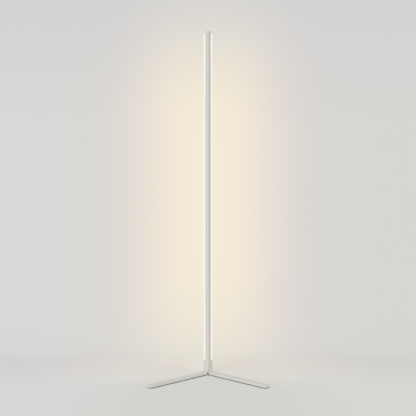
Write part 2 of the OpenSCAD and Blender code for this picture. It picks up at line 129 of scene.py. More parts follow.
def solid(rings, wrap=False):
    """Vertices and faces of a stack of rings, closed by two flat faces or, with wrap, on itself."""
    rings = np.asarray(rings, float)
    count, points = rings.shape[:2]
    faces = ring_faces(count, points, wrap=wrap).tolist()
    if not wrap:
        faces.append(np.arange(points)[::-1].tolist())
        faces.append((np.arange(points) + (count - 1) * points).tolist())
    return rings.reshape(-1, 3), faces


def joined(*solids):
    """Several solids as one: each one's corner numbers are moved on past those before it."""
    vertices, faces, first = [], [], 0
    for points, corners in solids:
        vertices.append(points)
        faces += [[c + first for c in face] for face in corners]
        first += len(points)
    return np.concatenate(vertices), faces


# %% [markdown]
# ## Turning, mirroring and placing
#
# A piece is turned by 45 degrees at the very end, in its vertices and not in its object, so
# that each finished object sits at the origin. The right leg is the left one mirrored. A
# mirror turns faces inside out, so each face's corners are read backwards afterwards.


# %% Move points about
def turned(points):
    """Square frame to lamp frame: x = (u - v) / root 2, y = (u + v) / root 2."""
    u, v, z = np.moveaxis(np.asarray(points, float), -1, 0)
    return np.stack([(u - v) / ROOT2, (u + v) / ROOT2, z], -1)


def mirrored(shape):
    """The other side of the lamp: u and v change places, and every face is read backwards."""
    vertices, faces = shape
    return vertices[:, [1, 0, 2]], [face[::-1] for face in faces]


def placed(points, at, out):
    """Points drawn about +Z, moved to a place with +Z along out, and +X upright if it can be."""
    z = np.asarray(out, float) / np.linalg.norm(out)
    across = np.array([1.0, -1, 0] if abs(z[2]) > 0.9 else [0.0, 0, 1])
    x = across - np.dot(across, z) * z
    x /= np.linalg.norm(x)
    y = np.cross(z, x)
    return np.asarray(at, float) + np.asarray(points, float) @ np.stack([x, y, z])


# %% Put a surface into Blender
SHARP, BY_AREA = 35, 80


def smooth_but(mesh, degrees):
    """Smooth shading, with every edge over so many degrees left hard."""
    mesh.shade_smooth()
    mesh.set_sharp_from_angle(angle=math.radians(degrees))


def make_piece(name, shape, slot, *replaces, sharp=SHARP, flat=False):
    """A new mesh object that rides on the lamp and stands for one of its CAD nodes.

    With flat, normals are weighed by area, so that a narrow rounded edge doesn't shade the
    wide face beside it.
    """
    vertices, faces = shape
    mesh = bpy.data.meshes.new(name)
    mesh.from_pydata((turned(vertices) * MM).tolist(), [], faces)
    mesh.validate()
    smooth_but(mesh, sharp)
    piece = bpy.data.objects.new(name, mesh)
    bpy.context.scene.collection.objects.link(piece)
    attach(piece, "root")
    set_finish(piece, slot)
    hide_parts(*replaces)
    if flat:
        weighted = piece.modifiers.new("weighted normals", "WEIGHTED_NORMAL")
        weighted.keep_sharp, weighted.weight = True, BY_AREA
    print(f"{name}: {len(mesh.vertices)} vertices, {len(mesh.polygons)} faces")
    return piece


def mark(piece, name, values):
    """Keeps a number for each vertex in a named attribute, where a material can read it."""
    attribute = piece.data.attributes.new(name, "FLOAT", "POINT")
    attribute.data.foreach_set("value", np.asarray(values, np.float32).reshape(-1))
    print(f"{piece.name}: {name} from {np.min(values):.2f} to {np.max(values):.2f}")


# %% [markdown]
# ## Outlines with rounded corners
#
# Most of the lamp is one outline carried along a straight line. The outline is given as sharp
# corners with a radius for each, and every corner is replaced by an arc that touches both of
# its sides. That is how a die for an extrusion is drawn, too.

# %% Round the corners of any outline
ARC_STEPS = 5


def rounded(corners, radii):
    """Closed outline with an arc at each corner.

    For a corner whose two sides make the angle 2h, the arc touches them r / tan h from the
    corner, and its centre lies r / sin h away on the bisector. Each arc's points are mixed
    from its first and last radius in proportion to sines, which keeps them on the circle.
    """
    corners = np.asarray(corners, float)
    radii = np.broadcast_to(np.asarray(radii, float), len(corners))[:, None]
    back = np.roll(corners, 1, axis=0) - corners
    on = np.roll(corners, -1, axis=0) - corners
    back /= np.linalg.norm(back, axis=1)[:, None]
    on /= np.linalg.norm(on, axis=1)[:, None]
    half = np.arccos(np.clip((back * on).sum(1), -1, 1))[:, None] / 2
    middle = (back + on) / np.linalg.norm(back + on, axis=1)[:, None]
    centre = corners + middle * radii / np.sin(half)
    first = corners + back * radii / np.tan(half) - centre
    last = corners + on * radii / np.tan(half) - centre
    swept = (math.pi - 2 * half)[:, None, :]
    share = np.linspace(0, 1, ARC_STEPS + 1)[None, :, None]
    arcs = np.sin((1 - share) * swept) * first[:, None] + np.sin(share * swept) * last[:, None]
    return (centre[:, None] + arcs / np.sin(swept)).reshape(-1, 2)


def from_front_edge(corners, radius=None):
    """A rounded outline, measured from the column's front edge and moved onto its axis.

    Without one radius for all corners, each corner's third number is its radius.
    """
    corners = np.asarray(corners, float)
    return rounded(corners[:, :2], corners[:, 2] if radius is None else radius) - COLUMN_HALF


def other_face(corners):
    """Corners as they lie on the column's other face: read backwards, with u and v exchanged."""
    return [[v, u, *rest] for u, v, *rest in corners[::-1]]


# %% Rectangles, finer outlines and upright rings
def rounded_box(half_a, half_b, radius, insets=0.0, least=0.02):
    """Rectangles with rounded corners, one drawn in by each inset, anticlockwise.

    point = corner's centre + its radius x (cos t, sin t). An inset takes as much off the
    radius as off the half sides, so the centres stay until only the least radius is left.
    """
    insets = np.atleast_1d(np.asarray(insets, float))[:, None, None]
    reach = np.maximum(radius - insets, least)
    signs = np.array([[1, -1], [1, 1], [-1, 1], [-1, -1]])
    centre = signs * (np.array([half_a, half_b]) - insets - reach)
    turn = np.linspace(-math.pi / 2, 0, ARC_STEPS + 1) + np.arange(4)[:, None] * math.pi / 2
    circle = np.stack([np.cos(turn), np.sin(turn)], -1)
    return (centre[:, :, None] + reach[..., None] * circle).reshape(len(insets), -1, 2)


def filled(outline, longest):
    """The outline with long sides cut into equal parts: start + share x (end - start)."""
    side = np.roll(outline, -1, axis=0) - outline
    parts = np.ceil(np.linalg.norm(side, axis=1) / longest).astype(int)
    before = np.repeat(np.cumsum(parts) - parts, parts)
    share = (np.arange(parts.sum()) - before) / np.repeat(parts, parts)
    return np.repeat(outline, parts, axis=0) + share[:, None] * np.repeat(side, parts, axis=0)


def standing(outlines, heights):
    """Outlines in u and v, or one for all, set at the given heights: rings of an upright piece."""
    flat = np.broadcast_to(outlines, (len(heights), *np.shape(outlines)[-2:]))
    up = np.broadcast_to(np.asarray(heights, float)[:, None, None], (*flat.shape[:2], 1))
    return np.concatenate([flat, up], -1)


def edge_round(radius, steps=4):
    """(inset, along) pairs of a quarter round that starts on an end face and ends on the side."""
    angle = np.linspace(0, math.pi / 2, steps + 1)
    return radius * (1 - np.sin(angle)), radius * (1 - np.cos(angle))


# %% [markdown]
# ## The aluminium front
#
# On the real lamp this is one extrusion. Two faces meet in the front edge, a web behind them
# carries the light strip, and at each end an open groove takes the cover's tongue. The die
# leaves a radius on every corner, a large one where a hand touches it. The outline encloses a
# hollow, so the ends are triangulated with a hole instead of being closed by one flat face.

# %% The outline of the front: along one face, away from it, and the corner's radius
LIP, GROOVE_W, GROOVE_DEPTH, RIB = 1.0, 1.3, 2.6, 1.0
PROFILE_WALL, WEB_T, BEAD = 1.5, 2.0, 0.25
CORNER, CHAMBER_ROUND, BEAD_ROUND = 1.0, 0.3, 0.04
RIB_AT = LIP + GROOVE_W
GROOVE_BLOCK = RIB_AT + RIB
GROOVE_END = FRONT_W - GROOVE_DEPTH
BEAD_AT = FRONT_W - GROOVE_DEPTH / 2
WEB_BACK = GROOVE_END + GROOVE_BLOCK
WEB_FRONT = WEB_BACK - WEB_T * ROOT2
WEB_DEPTH = WEB_BACK / ROOT2
CHAMBER_END = WEB_FRONT - PROFILE_WALL


def bead(level):
    """The three corners of the snap bead, or of its notch, that stands on a level."""
    steps = ((-1, 0), (0, 1), (1, 0))
    return [[BEAD_AT + on * BEAD, level + up * BEAD, BEAD_ROUND] for on, up in steps]


right_half = [
    [FRONT_W, 0, 0.15],
    [FRONT_W, LIP, 0.15],
    [GROOVE_END, LIP, 0.1],
    [GROOVE_END, RIB_AT, 0.1],
    *bead(RIB_AT),
    [FRONT_W, RIB_AT, 0.1],
    [FRONT_W, GROOVE_BLOCK, 0.2],
    [GROOVE_END, GROOVE_BLOCK, 0.2],
]
front_outline = from_front_edge([[0, 0, CORNER], *right_half, *other_face(right_half)])
chamber_corners = [[PROFILE_WALL] * 2, [CHAMBER_END, PROFILE_WALL], [PROFILE_WALL, CHAMBER_END]]
print(f"web's back face lies {WEB_DEPTH:.2f} mm behind the front edge")


# %% Carry the outline up the column, with its hollow
def hollow_bar(outer, inner, low, high):
    """An upright bar with one hollow. The inner ring runs clockwise, to look into the hollow."""
    inner = inner[::-1]
    outside, inside = standing(outer, [low, high]), standing(inner, [low, high])
    vertices = np.concatenate([outside.reshape(-1, 3), inside.reshape(-1, 3)])
    count, holes = len(outer), len(inner)
    faces = ring_faces(2, count).tolist() + ring_faces(2, holes, first=2 * count).tolist()
    triangles = np.array(
        tessellate_polygon([[Vector((*p, 0)) for p in loop] for loop in (outer, inner)])
    )
    flat = np.concatenate([outer, inner])
    a, b, c = (flat[triangles[:, k]] for k in range(3))
    clockwise = np.cross(b - a, c - a) < 0
    triangles[clockwise] = triangles[clockwise][:, ::-1]
    number = np.concatenate([np.arange(count), 2 * count + np.arange(holes)])
    above = np.where(number < count, count, holes)
    faces += number[triangles[:, ::-1]].tolist() + (number + above)[triangles].tolist()
    return vertices, faces


chamber = from_front_edge(chamber_corners, CHAMBER_ROUND)
front_bar = hollow_bar(front_outline, chamber, POST_TOP, CAP_BOTTOM)
column_front = make_piece(
    "column_front", front_bar, "painted_aluminium", "front_profile", flat=True
)

# %% [markdown]
# ## The milky cover
#
# The cover is extruded from milky plastic in one piece, too. It wraps round both sides and the
# back of the column, and ends in two tongues that snap into the front's grooves. Its outline
# is drawn in the same way, so that tongue and groove can be compared corner by corner.

# %% The outline of the cover
COVER_WALL, ROOT_L = 1.6, 1.8
SEAM = FRONT_W + SLIDE_GAP
TONGUE_OUT, TONGUE_IN = LIP + SLIDE_GAP, RIB_AT - SLIDE_GAP
TONGUE_TIP = GROOVE_END + SLIDE_GAP
INSIDE = COLUMN_W - COVER_WALL

tongue = [
    [INSIDE, COVER_WALL, 0.3],
    [SEAM + ROOT_L, COVER_WALL, 0.2],
    [SEAM + ROOT_L, TONGUE_IN, 0.15],
    *bead(TONGUE_IN)[::-1],
    [TONGUE_TIP, TONGUE_IN, 0.1],
    [TONGUE_TIP, TONGUE_OUT, 0.1],
    [SEAM, TONGUE_OUT, 0.1],
    [SEAM, 0, 0.15],
]
corners = [[COLUMN_W, 0, CORNER], [COLUMN_W, COLUMN_W, CORNER], [0, COLUMN_W, CORNER]]
cover_outline = from_front_edge([*corners, *other_face(tongue), [INSIDE, INSIDE, 0.3], *tongue])
print(f"a tongue of {TONGUE_IN - TONGUE_OUT:.2f} mm in a groove of {GROOVE_W:.2f} mm")

# %% Rings of the cover, close together where it grows darker near its ends
LONGEST_SIDE = 3.0
EVEN_FROM, EVEN_RINGS = 160, 7
near_end = np.array([0, 0.5, 1.5, 3, 6, 10, 16, 26, 45, 80])
between = np.linspace(POST_TOP + EVEN_FROM, CAP_BOTTOM - EVEN_FROM, EVEN_RINGS)
cover_heights = np.concatenate([POST_TOP + near_end, between, CAP_BOTTOM - near_end[::-1]])
cover_rings = standing(filled(cover_outline, LONGEST_SIDE), cover_heights)
light_cover = make_piece(
    "light_cover", solid(cover_rings), "lit_diffuser", "diffuser", flat=True
)

# %% [markdown]
# ## How bright the cover is
#
# The strip inside shines backwards. The cover's back gets the most light, its front edges get
# what is scattered inside, and its ends are a little darker, where the strip stops short. A
# named attribute holds this brightness at each vertex, and the material only has to read it.

# %% A brightness for each vertex of the cover
LOST_IN_FRONT, LOST_AT_ENDS, GAINED_INSIDE, DARK_END = 0.03, 0.14, 0.1, 7


def brightness(points):
    """1 - a loss towards the front - a loss near each end + a gain on the inner faces.

    The loss near an end falls off as exp(-distance from it / dark end).
    """
    u, v, z = np.moveaxis(points, -1, 0)
    back = np.clip((u + v) / ROOT2 / (COLUMN_HALF * ROOT2), -1, 1)
    from_end = np.minimum(z - POST_TOP, CAP_BOTTOM - z)
    inside = np.clip((COLUMN_HALF - np.maximum(np.abs(u), np.abs(v))) / COVER_WALL, 0, 1)
    lost = LOST_IN_FRONT * (1 - back) + LOST_AT_ENDS * np.exp(-from_end / DARK_END)
    return 1 - lost + GAINED_INSIDE * inside


mark(light_cover, "lit", brightness(cover_rings))

# %% [markdown]
# ## The cap
#
# The cap is a small pressed-in plate. Its upper edge is rounded, because fingers find it when
# the lamp is carried. Each ring of the plate is the square outline drawn in by the same amount
# that a quarter circle leaves at that height. A plug in the front's hollow and a rib in the
# cover's back corner hold it.

# %% Plate, plug and rib
BROKEN_EDGE, CAP_ROUND = 0.15, 0.6
PLUG_L, RIB_L, RIB_T = 14, 6, 1.2
SPIGOT_FLAT = 1.0
NEAR, FAR = PROFILE_WALL + SPIGOT_GAP, WEB_FRONT - SPIGOT_GAP * ROOT2
TIP = FAR - NEAR - SPIGOT_FLAT
RIB_OUT = INSIDE - SLIDE_GAP
RIB_IN = RIB_OUT - RIB_T


def square_plate(low, high, low_round, high_round):
    """A plate of the post's outline: squares drawn in along a quarter circle at both ends."""
    inset, along = edge_round(low_round)
    inset_2, along_2 = edge_round(high_round)
    insets = np.concatenate([inset, inset_2[::-1]])
    heights = np.concatenate([low + along, high - along_2[::-1]])
    return standing(rounded_box(POST_HALF, POST_HALF, CORNER, insets), heights)


flat_end = [[TIP, NEAR], [TIP, NEAR + SPIGOT_FLAT]]
spigot_corners = [[NEAR, NEAR], *flat_end, *other_face(flat_end)]
rib_side = [[RIB_OUT, COLUMN_HALF], [RIB_OUT, RIB_OUT], [COLUMN_HALF, RIB_OUT]]
rib_corners = [*rib_side, [COLUMN_HALF, RIB_IN], [RIB_IN, RIB_IN], [RIB_IN, COLUMN_HALF]]
plug, rib = (
    solid(standing(from_front_edge(outline, BROKEN_EDGE), [CAP_BOTTOM - length, CAP_BOTTOM]))
    for outline, length in ((spigot_corners, PLUG_L), (rib_corners, RIB_L))
)
plate = solid(square_plate(CAP_BOTTOM, LAMP_H, BROKEN_EDGE, CAP_ROUND))
make_piece("cap", joined(plate, plug, rib), "painted_aluminium", "top_cap", flat=True)

# %% [markdown]
# ## The post
#
# The post is a short box with a thick closed top and an open foot. One stack of rings makes it:
# it starts at the cavity's ceiling, runs down inside, out under the wall, up the outside and in
# over the top. Its holes are then cut with Blender's Boolean modifier, which is applied, just
# as a drill would cut them after the box is made.


# %% Turned shapes
def full_turn(sides):
    """Angles once round, as one row."""
    return np.linspace(0, 2 * math.pi, sides, endpoint=False)[None, :]


def walk(points):
    """(radius, height) points as two columns."""
    return np.hsplit(np.asarray(points, float), 2)


def around(turn, *parts):
    """Rings about +Z: point = (radius x cos t, radius x sin t, height).

    A part is a (radius, height) pair, each of them one number, a column or a whole grid.
    """
    grids = [np.broadcast_arrays(radius, height, turn) for radius, height in parts]
    radius, height, angle = (np.concatenate(rows) for rows in zip(*grids))
    return np.stack([radius * np.cos(angle), radius * np.sin(angle), height], -1)


def lathed(profile, at, out, sides=48):
    """A solid turned from (radius, height) points, starting at a point and running along out."""
    return solid(placed(around(full_turn(sides), walk(profile)), at, out))


# %% A drill for any piece
UP = [0, 0, 1]
OVER, SUNK = 1.0, 0.1


def sink(radius, head_radius, head_height, depth, gap=HOLE_GAP):
    """The profile of a hole for a countersunk screw: a mouth, a cone down to the bore, the bore.

    It starts a little outside the surface. A straight hole is one with no wider head.
    """
    mouth, bore = head_radius + gap, radius + gap
    return [[mouth, -OVER], [mouth, SUNK], [bore, SUNK + head_height], [bore, depth]]


def drilled(piece, *cutters):
    """The piece with every cutter's volume taken out of its mesh."""
    vertices, faces = joined(*cutters)
    tool_mesh = bpy.data.meshes.new("drill")
    tool_mesh.from_pydata((turned(vertices) * MM).tolist(), [], faces)
    tool = bpy.data.objects.new("drill", tool_mesh)
    bpy.context.scene.collection.objects.link(tool)
    cut = piece.modifiers.new("holes", "BOOLEAN")
    cut.operation, cut.solver, cut.object, cut.use_self = "DIFFERENCE", "EXACT", tool, True
    piece.modifiers.move(len(piece.modifiers) - 1, 0)
    bpy.context.view_layer.update()
    with bpy.context.temp_override(object=piece, active_object=piece):
        bpy.ops.object.modifier_apply(modifier="holes")
    bpy.data.objects.remove(tool)
    bpy.data.meshes.remove(tool_mesh)
    smooth_but(piece.data, SHARP)
    print(f"{piece.name}: drilled, now {len(piece.data.polygons)} faces")


# %% Sizes of the small screws, the socket and the wire bush, and where they sit
SMALL_R, SMALL_HEAD_R, SMALL_HEAD_H = 1.5, 2.75, 1.6
SOCKET_R, BUSH_R, DRILL_DEPTH = 3.95, 2.5, 3
BLOCK_SCREW_DOWN, CROSS_FIRST, CROSS_APART = 3.5, 22, 30
BLOCK_SCREW_Z = BLOCK_TOP - BLOCK_SCREW_DOWN
CROSS_Z = [POST_TOP + CROSS_FIRST, POST_TOP + CROSS_FIRST + CROSS_APART]
WEB_AT = WEB_DEPTH / ROOT2 - COLUMN_HALF
CHIP_FACE = WEB_DEPTH + TAPE_T + BOARD_T + CHIP_T
WIRE_AT = (CHIP_FACE + INSIDE * ROOT2) / 2 / ROOT2 - COLUMN_HALF
SPIGOT_AT = NEAR + (FAR - 2 * NEAR) * (1 - 1 / ROOT2) - COLUMN_HALF
small_sink = sink(SMALL_R, SMALL_HEAD_R, SMALL_HEAD_H, DRILL_DEPTH)
print(f"the wires climb {WIRE_AT * ROOT2:.2f} mm behind the column's axis")

# %% Make the post and drill its holes
CAVITY_HALF, CAVITY_ROUND, POST_ROUND = POST_HALF - POST_WALL, 0.4, 0.3
POCKET_DEPTH, POCKET_ROUND = 8, 0.1
cavity = standing(
    rounded_box(CAVITY_HALF, CAVITY_HALF, CAVITY_ROUND)[0], [CAVITY_TOP, LEG_TOP]
)
walls_and_top = square_plate(LEG_TOP, POST_TOP, BROKEN_EDGE, POST_ROUND)
post_shape = solid(np.concatenate([cavity, walls_and_top]))
post_shell = make_piece("post_shell", post_shape, "painted_aluminium", "post", flat=True)

socket_hole = sink(SOCKET_R, SOCKET_R, SUNK, DRILL_DEPTH, gap=SLIDE_GAP)
wire_hole, spigot_hole = (
    [[radius, -OVER], [radius, depth + OVER]] for radius, depth in (
        (BUSH_R + SLIDE_GAP, POST_TOP_T), (SMALL_R + HOLE_GAP, POST_TOP_T - POCKET_DEPTH)
    )
)
pocket = standing(
    from_front_edge(spigot_corners, POCKET_ROUND), [POST_TOP - POCKET_DEPTH, POST_TOP + OVER]
)
drilled(
    post_shell,
    lathed(small_sink, [POST_HALF, 0, BLOCK_SCREW_Z], [-1, 0, 0]),
    lathed(small_sink, [0, POST_HALF, BLOCK_SCREW_Z], [0, -1, 0]),
    lathed(socket_hole, [POST_HALF, 0, SOCKET_Z], [-1, 0, 0]),
    lathed(wire_hole, [WIRE_AT, WIRE_AT, CAVITY_TOP], UP),
    solid(pocket),
    lathed(spigot_hole, [SPIGOT_AT, SPIGOT_AT, CAVITY_TOP], UP),
)

# %% Drill the two cross holes in the front's web
drilled(column_front, *[lathed(small_sink, [WEB_AT, WEB_AT, z], [-1, -1, 0]) for z in CROSS_Z])

# %% [markdown]
# ## The legs
#
# Each leg is a flat steel bar. A rounded rectangle is carried along it, and at the tip its
# rings shrink along a quarter circle, which rounds the end's four edges like the long ones. At
# the other end the ring is slanted: each of its points goes as far along the leg as it lies
# across it, and that makes the mitre. Two countersunk holes from below take a leg's screws.

# %% A leg as a stack of rings
LEG_ROUND, MITRE_GAP = 0.8, 3.6
MITRE_EDGE, MITRE_EDGE_L = 0.15, 0.2
LEG_SCREW_R, LEG_HEAD_R, LEG_HEAD_H = 2.0, 4.0, 2.3
SCREW_OFF, SCREW_APART = 6.8, 9.0


def leg_rings():
    """Rings along +u: the rounded tip, then the mitre, where u = v - the seam's width / root 2."""
    inset, along = edge_round(LEG_ROUND, 5)
    section = rounded_box(POST_HALF, LEG_T / 2, LEG_ROUND, [*inset, 0, MITRE_EDGE])
    tip = np.broadcast_to((along - POST_HALF - LEG_REACH)[:, None], section[:-2, :, 0].shape)
    mitre = section[-2:, :, 0] - MITRE_GAP / ROOT2 - np.array([[MITRE_EDGE_L], [0]])
    u = np.concatenate([tip, mitre])
    return np.concatenate([u[..., None], section], -1) + [0, 0, PAD_T + LEG_T / 2]


def leg_screw_spots(side):
    """Places of the two screws of the left (1) or right (-1) leg, off the mitre and along it."""
    off, apart = SCREW_OFF / ROOT2, SCREW_APART / 2 / ROOT2
    spots = np.array([[-off - apart, off - apart], [-off + apart, off + apart]])
    return spots[:, ::side]


left_leg = solid(leg_rings())
leg_sink = sink(LEG_SCREW_R, LEG_HEAD_R, LEG_HEAD_H, LEG_T + OVER)
for side, name, node, shape in (
    (1, "leg_left", "left_leg", left_leg), (-1, "leg_right", "right_leg", mirrored(left_leg))
):
    leg = make_piece(name, shape, "painted_steel", node, flat=True)
    drilled(leg, *[lathed(leg_sink, [*spot, PAD_T], UP) for spot in leg_screw_spots(side)])

# %% [markdown]
# ## The rubber feet
#
# A square pad sits under the post, and a long one runs under each leg. Their dark rubber and the
# shade in the low gap beside it make one thin dark line along the floor under each leg. Soft pads
# are moulded with shallow grooves, which let them give a little and grip the floor. The same walk
# from the middle of the underside, out, up the wall and back in over the top serves both lengths.

# %% Pads with grooves underneath
PAD_HALF, PAD_ROUND, PAD_LEAST_ROUND = 12.3, 2.0, 0.6
PAD_IN, PAD_GAP = 5.0, 2.0
LOWER_RIM, UPPER_RIM = 0.6, 0.2
GROOVES, GROOVE_STEPS, PAD_GROOVE_DEPTH = 3, 6, 0.35
GROOVES_FROM, GROOVES_OVER = 0.25, 0.6


def pad_rings(half_length):
    """Rings of a pad: its rounded outline, drawn in from the rim by each step of the walk.

    The underside has rounded grooves: height = depth x sin squared of the way across each.
    They take up a share of the way from the middle to the rim. Both rims are rounded.
    """
    across = np.linspace(0, 1, GROOVE_STEPS * GROOVES + 1)
    wave = PAD_GROOVE_DEPTH * np.clip(np.sin(2 * math.pi * GROOVES * across), 0, 1) ** 2
    under = PAD_HALF - PAD_HALF * (GROOVES_FROM + GROOVES_OVER * across)
    inset, along = edge_round(LOWER_RIM)
    inset_2, along_2 = edge_round(UPPER_RIM)
    insets = np.concatenate([under, inset, inset_2[::-1]])
    heights = np.concatenate([wave, along, PAD_T - along_2[::-1]])
    outlines = rounded_box(half_length, PAD_HALF, PAD_ROUND, insets, least=PAD_LEAST_ROUND)
    return standing(outlines, heights)


pad_start, pad_end = PAD_IN - POST_HALF - LEG_REACH, -PAD_HALF - PAD_GAP
long_pad = pad_rings((pad_end - pad_start) / 2) + [(pad_start + pad_end) / 2, 0, 0]
make_piece("heel_foot", solid(pad_rings(PAD_HALF)), "foot_rubber", "heel_pad")
make_piece("tip_foot_left", solid(long_pad), "foot_rubber", "left_tip_pad")
make_piece("tip_foot_right", mirrored(solid(long_pad)), "foot_rubber", "right_tip_pad")

# %% [markdown]
# ## Screws
#
# A screw is a single surface. Its rings start in the middle of the key's hexagon, climb the
# hexagon's walls, cross the head, run down its cone and along the thread, and close at the
# tip. In the thread the radius changes with the angle as well as along the screw, so the ridge
# climbs by one pitch in a turn.


# %% A surface for any screw
def hexagon(apothem, turn):
    """Radius of a hexagon: apothem / cos of the angle from the nearest side's middle."""
    return apothem / np.cos((turn + math.pi / 6) % (math.pi / 3) - math.pi / 6)


def thread(radius, low, high, pitch, turn, per_turn=8, depth=0.6):
    """(radius, height) of a thread: radius - depth x pitch / 2 x how far down its valley it is.

    That is |2 frac(height / pitch - angle / 2 pi) - 1|, and 1 all round at both ends.
    """
    height = np.linspace(low, high, int((high - low) / pitch * per_turn) + 1)[:, None]
    valley = np.abs(2 * ((height / pitch - turn / (2 * math.pi)) % 1) - 1)
    ends = np.clip(np.minimum(height - low, high - height) / pitch, 0, 1)
    return radius - depth * pitch * (1 - (1 - valley) * ends) / 2, height


KEY_SIZE, KEY_DEPTH, KEY_EDGE, KEY_MIDDLE = 0.522, 0.7, 0.08, 0.05
POINT_L, POINT_IN, POINT_SIZE = 0.4, 0.55, 0.9
RIM, NECK_L = 0.1, 0.3


def screw(radius, pitch, length, key, key_depth, head):
    """A screw about +Z with its head's face at z = 0, and (radius, height) points down the head.

    A small face closes the middle of the key's floor, and another the point, which is
    narrower than the thread.
    """
    turn = full_turn(32)
    wall = hexagon(key, turn)
    point = (radius - POINT_IN * pitch) * POINT_SIZE
    return around(
        turn, (wall * KEY_MIDDLE, key_depth), (wall, key_depth),
        (wall, KEY_EDGE), (wall + KEY_EDGE, 0), walk(head),
        thread(radius, head[-1][1], length - POINT_L, pitch, turn), (point, length),
    )


def countersunk(radius, pitch, head_radius, head_height, length):
    """A countersunk screw: a short rim, a cone, and a short neck down to the thread."""
    rim = [[head_radius - RIM, 0], [head_radius, RIM], [head_radius, 2 * RIM]]
    head = [*rim, [radius, head_height], [radius, head_height + NECK_L]]
    return screw(radius, pitch, length, radius * KEY_SIZE, head_height * KEY_DEPTH, head)


def screws(name, slot, node, rings, spots, directions):
    """Copies of one screw, as one piece that stands for a CAD node."""
    directions = np.broadcast_to(directions, (len(spots), 3))
    copies = [solid(placed(rings, *there)) for there in zip(spots, directions)]
    make_piece(name, joined(*copies), slot, node, sharp=50)


# %% Rings of the three kinds of screw
SMALL_PITCH, SMALL_L, LEG_PITCH, LEG_SCREW_L = 0.5, 7.0, 0.7, 17.0
HOLD_L, HOLD_HEAD_R, HOLD_HEAD_H = 10.0, 2.75, 3.0
HOLD_EDGE, HOLD_KEY, HOLD_KEY_DEPTH = 0.2, 1.3, 1.8
thin, thick = SMALL_R - THREAD_GAP, LEG_SCREW_R - THREAD_GAP
small = countersunk(thin, SMALL_PITCH, SMALL_HEAD_R, SMALL_HEAD_H, SMALL_L - SUNK)
big = countersunk(thick, LEG_PITCH, LEG_HEAD_R, LEG_HEAD_H, LEG_SCREW_L - SUNK)
cylinder_head = [
    [HOLD_HEAD_R - HOLD_EDGE, 0], [HOLD_HEAD_R, HOLD_EDGE], [HOLD_HEAD_R, HOLD_HEAD_H],
    [thin + RIM, HOLD_HEAD_H], [thin, HOLD_HEAD_H + RIM], [thin, HOLD_HEAD_H + 2 * NECK_L],
]
with_head = HOLD_HEAD_H + HOLD_L
holding = screw(thin, SMALL_PITCH, with_head, HOLD_KEY, HOLD_KEY_DEPTH, cylinder_head)
print(f"rings of the screws: {len(small)}, {len(big)} and {len(holding)}")

# %% Place every screw in its hole
cross_spots = [[WEB_AT - SUNK / ROOT2, WEB_AT - SUNK / ROOT2, z] for z in CROSS_Z]
block_spots = [[POST_HALF - SUNK, 0, BLOCK_SCREW_Z], [0, POST_HALF - SUNK, BLOCK_SCREW_Z]]
leg_spots = [[*spot, PAD_T + SUNK] for side in (1, -1) for spot in leg_screw_spots(side)]
spigot_spot = [[SPIGOT_AT, SPIGOT_AT, CAVITY_TOP - HOLD_HEAD_H]]
inwards = [[-1, 0, 0], [0, -1, 0]]
screws("bar_screws", "bare_steel", "profile_screws", small, cross_spots, [-1, -1, 0])
screws("post_screws", "bare_steel", "block_screws", small, block_spots, inwards)
screws("foot_screws", "black_screw", "leg_screws", big, leg_spots, UP)
screws("hold_down_screw", "black_screw", "spigot_screw", holding, spigot_spot, UP)

# %% [markdown]
# ## The power socket
#
# The lead of the lamp isn't in the photograph, so only its inlet is here, low on the back. The
# socket is a turned brass shell with a nickel finish. A flange stops it outside the wall, and
# a nut on its thread pulls it tight from inside. Both are ring-shaped: the profile's last
# point is joined to its first.

# %% Rings of the shell: its back end, the thread, the neck, the flange and the plug's bore
SHELL_L, FLANGE_T, FLANGE_R, NECK_R = 12.0, 2.0, 5.75, 3.7
PLUG_R, INSERT_R = 2.85, 3.25
THREAD_FROM, THREAD_TO, SOCKET_PITCH = 0.3, 9.6, 0.75
FACE, SEAT = SHELL_L + FLANGE_T, 4.5
socket_turn = full_turn(48)
back_end = [[INSERT_R, 0.2], [INSERT_R + 0.05, 0], [NECK_R - 0.1, 0]]
shell_thread = thread(SOCKET_R, THREAD_FROM, THREAD_TO, SOCKET_PITCH, socket_turn, depth=0.5)
flange = [[-0.1, SHELL_L], [0, SHELL_L + 0.1], [0, FACE - 0.4], [-0.08, FACE - 0.17], [-0.3, FACE]]
bore = [[0.55, FACE], [0.25, FACE - 0.1], [0.05, FACE - 0.35], [0, FACE - 0.6], [0, SEAT]]
front_end = [
    [NECK_R, THREAD_TO + 0.3], [NECK_R, SHELL_L],
    *[[FLANGE_R + step, height] for step, height in flange],
    *[[PLUG_R + step, height] for step, height in bore],
    [INSERT_R, SEAT],
]
shell_rings = around(socket_turn, walk(back_end), shell_thread, walk(front_end))
print(f"shell: {len(shell_rings)} rings")

# %% Rings of the nut, and both pieces in the post's wall
NUT_T, NUT_HALF, WASHER_T = 2.0, 5.5, 0.5
NUT_BORE_R, BORE_EDGE = 4.0, 0.2
CHAMFER_FROM, CHAMFER_ANGLE = 1.02, 30
nut_heights = NUT_T * np.array([0, 1, 2, 4, 6, 7, 8])[:, None] / 8
to_end = np.minimum(nut_heights, NUT_T - nut_heights)
chamfer = NUT_HALF * CHAMFER_FROM + to_end / math.tan(math.radians(CHAMFER_ANGLE))
nut_side = np.minimum(hexagon(NUT_HALF, socket_turn), chamfer)
nut_bore = [
    [NUT_BORE_R + BORE_EDGE, NUT_T], [NUT_BORE_R, NUT_T - BORE_EDGE],
    [NUT_BORE_R, BORE_EDGE], [NUT_BORE_R + BORE_EDGE, 0],
]
nut_rings = around(socket_turn, (nut_side, nut_heights), walk(nut_bore))

for name, node, rings, behind, sharp in (
    ("socket_body", "socket_shell", shell_rings, SHELL_L, SHARP),
    ("socket_ring_nut", "socket_nut", nut_rings, POST_WALL + WASHER_T + NUT_T, 20),
):
    ring = placed(rings, [POST_HALF - behind, 0, SOCKET_Z], [1, 0, 0])
    make_piece(name, solid(ring, wrap=True), "nickel", node, sharp=sharp)

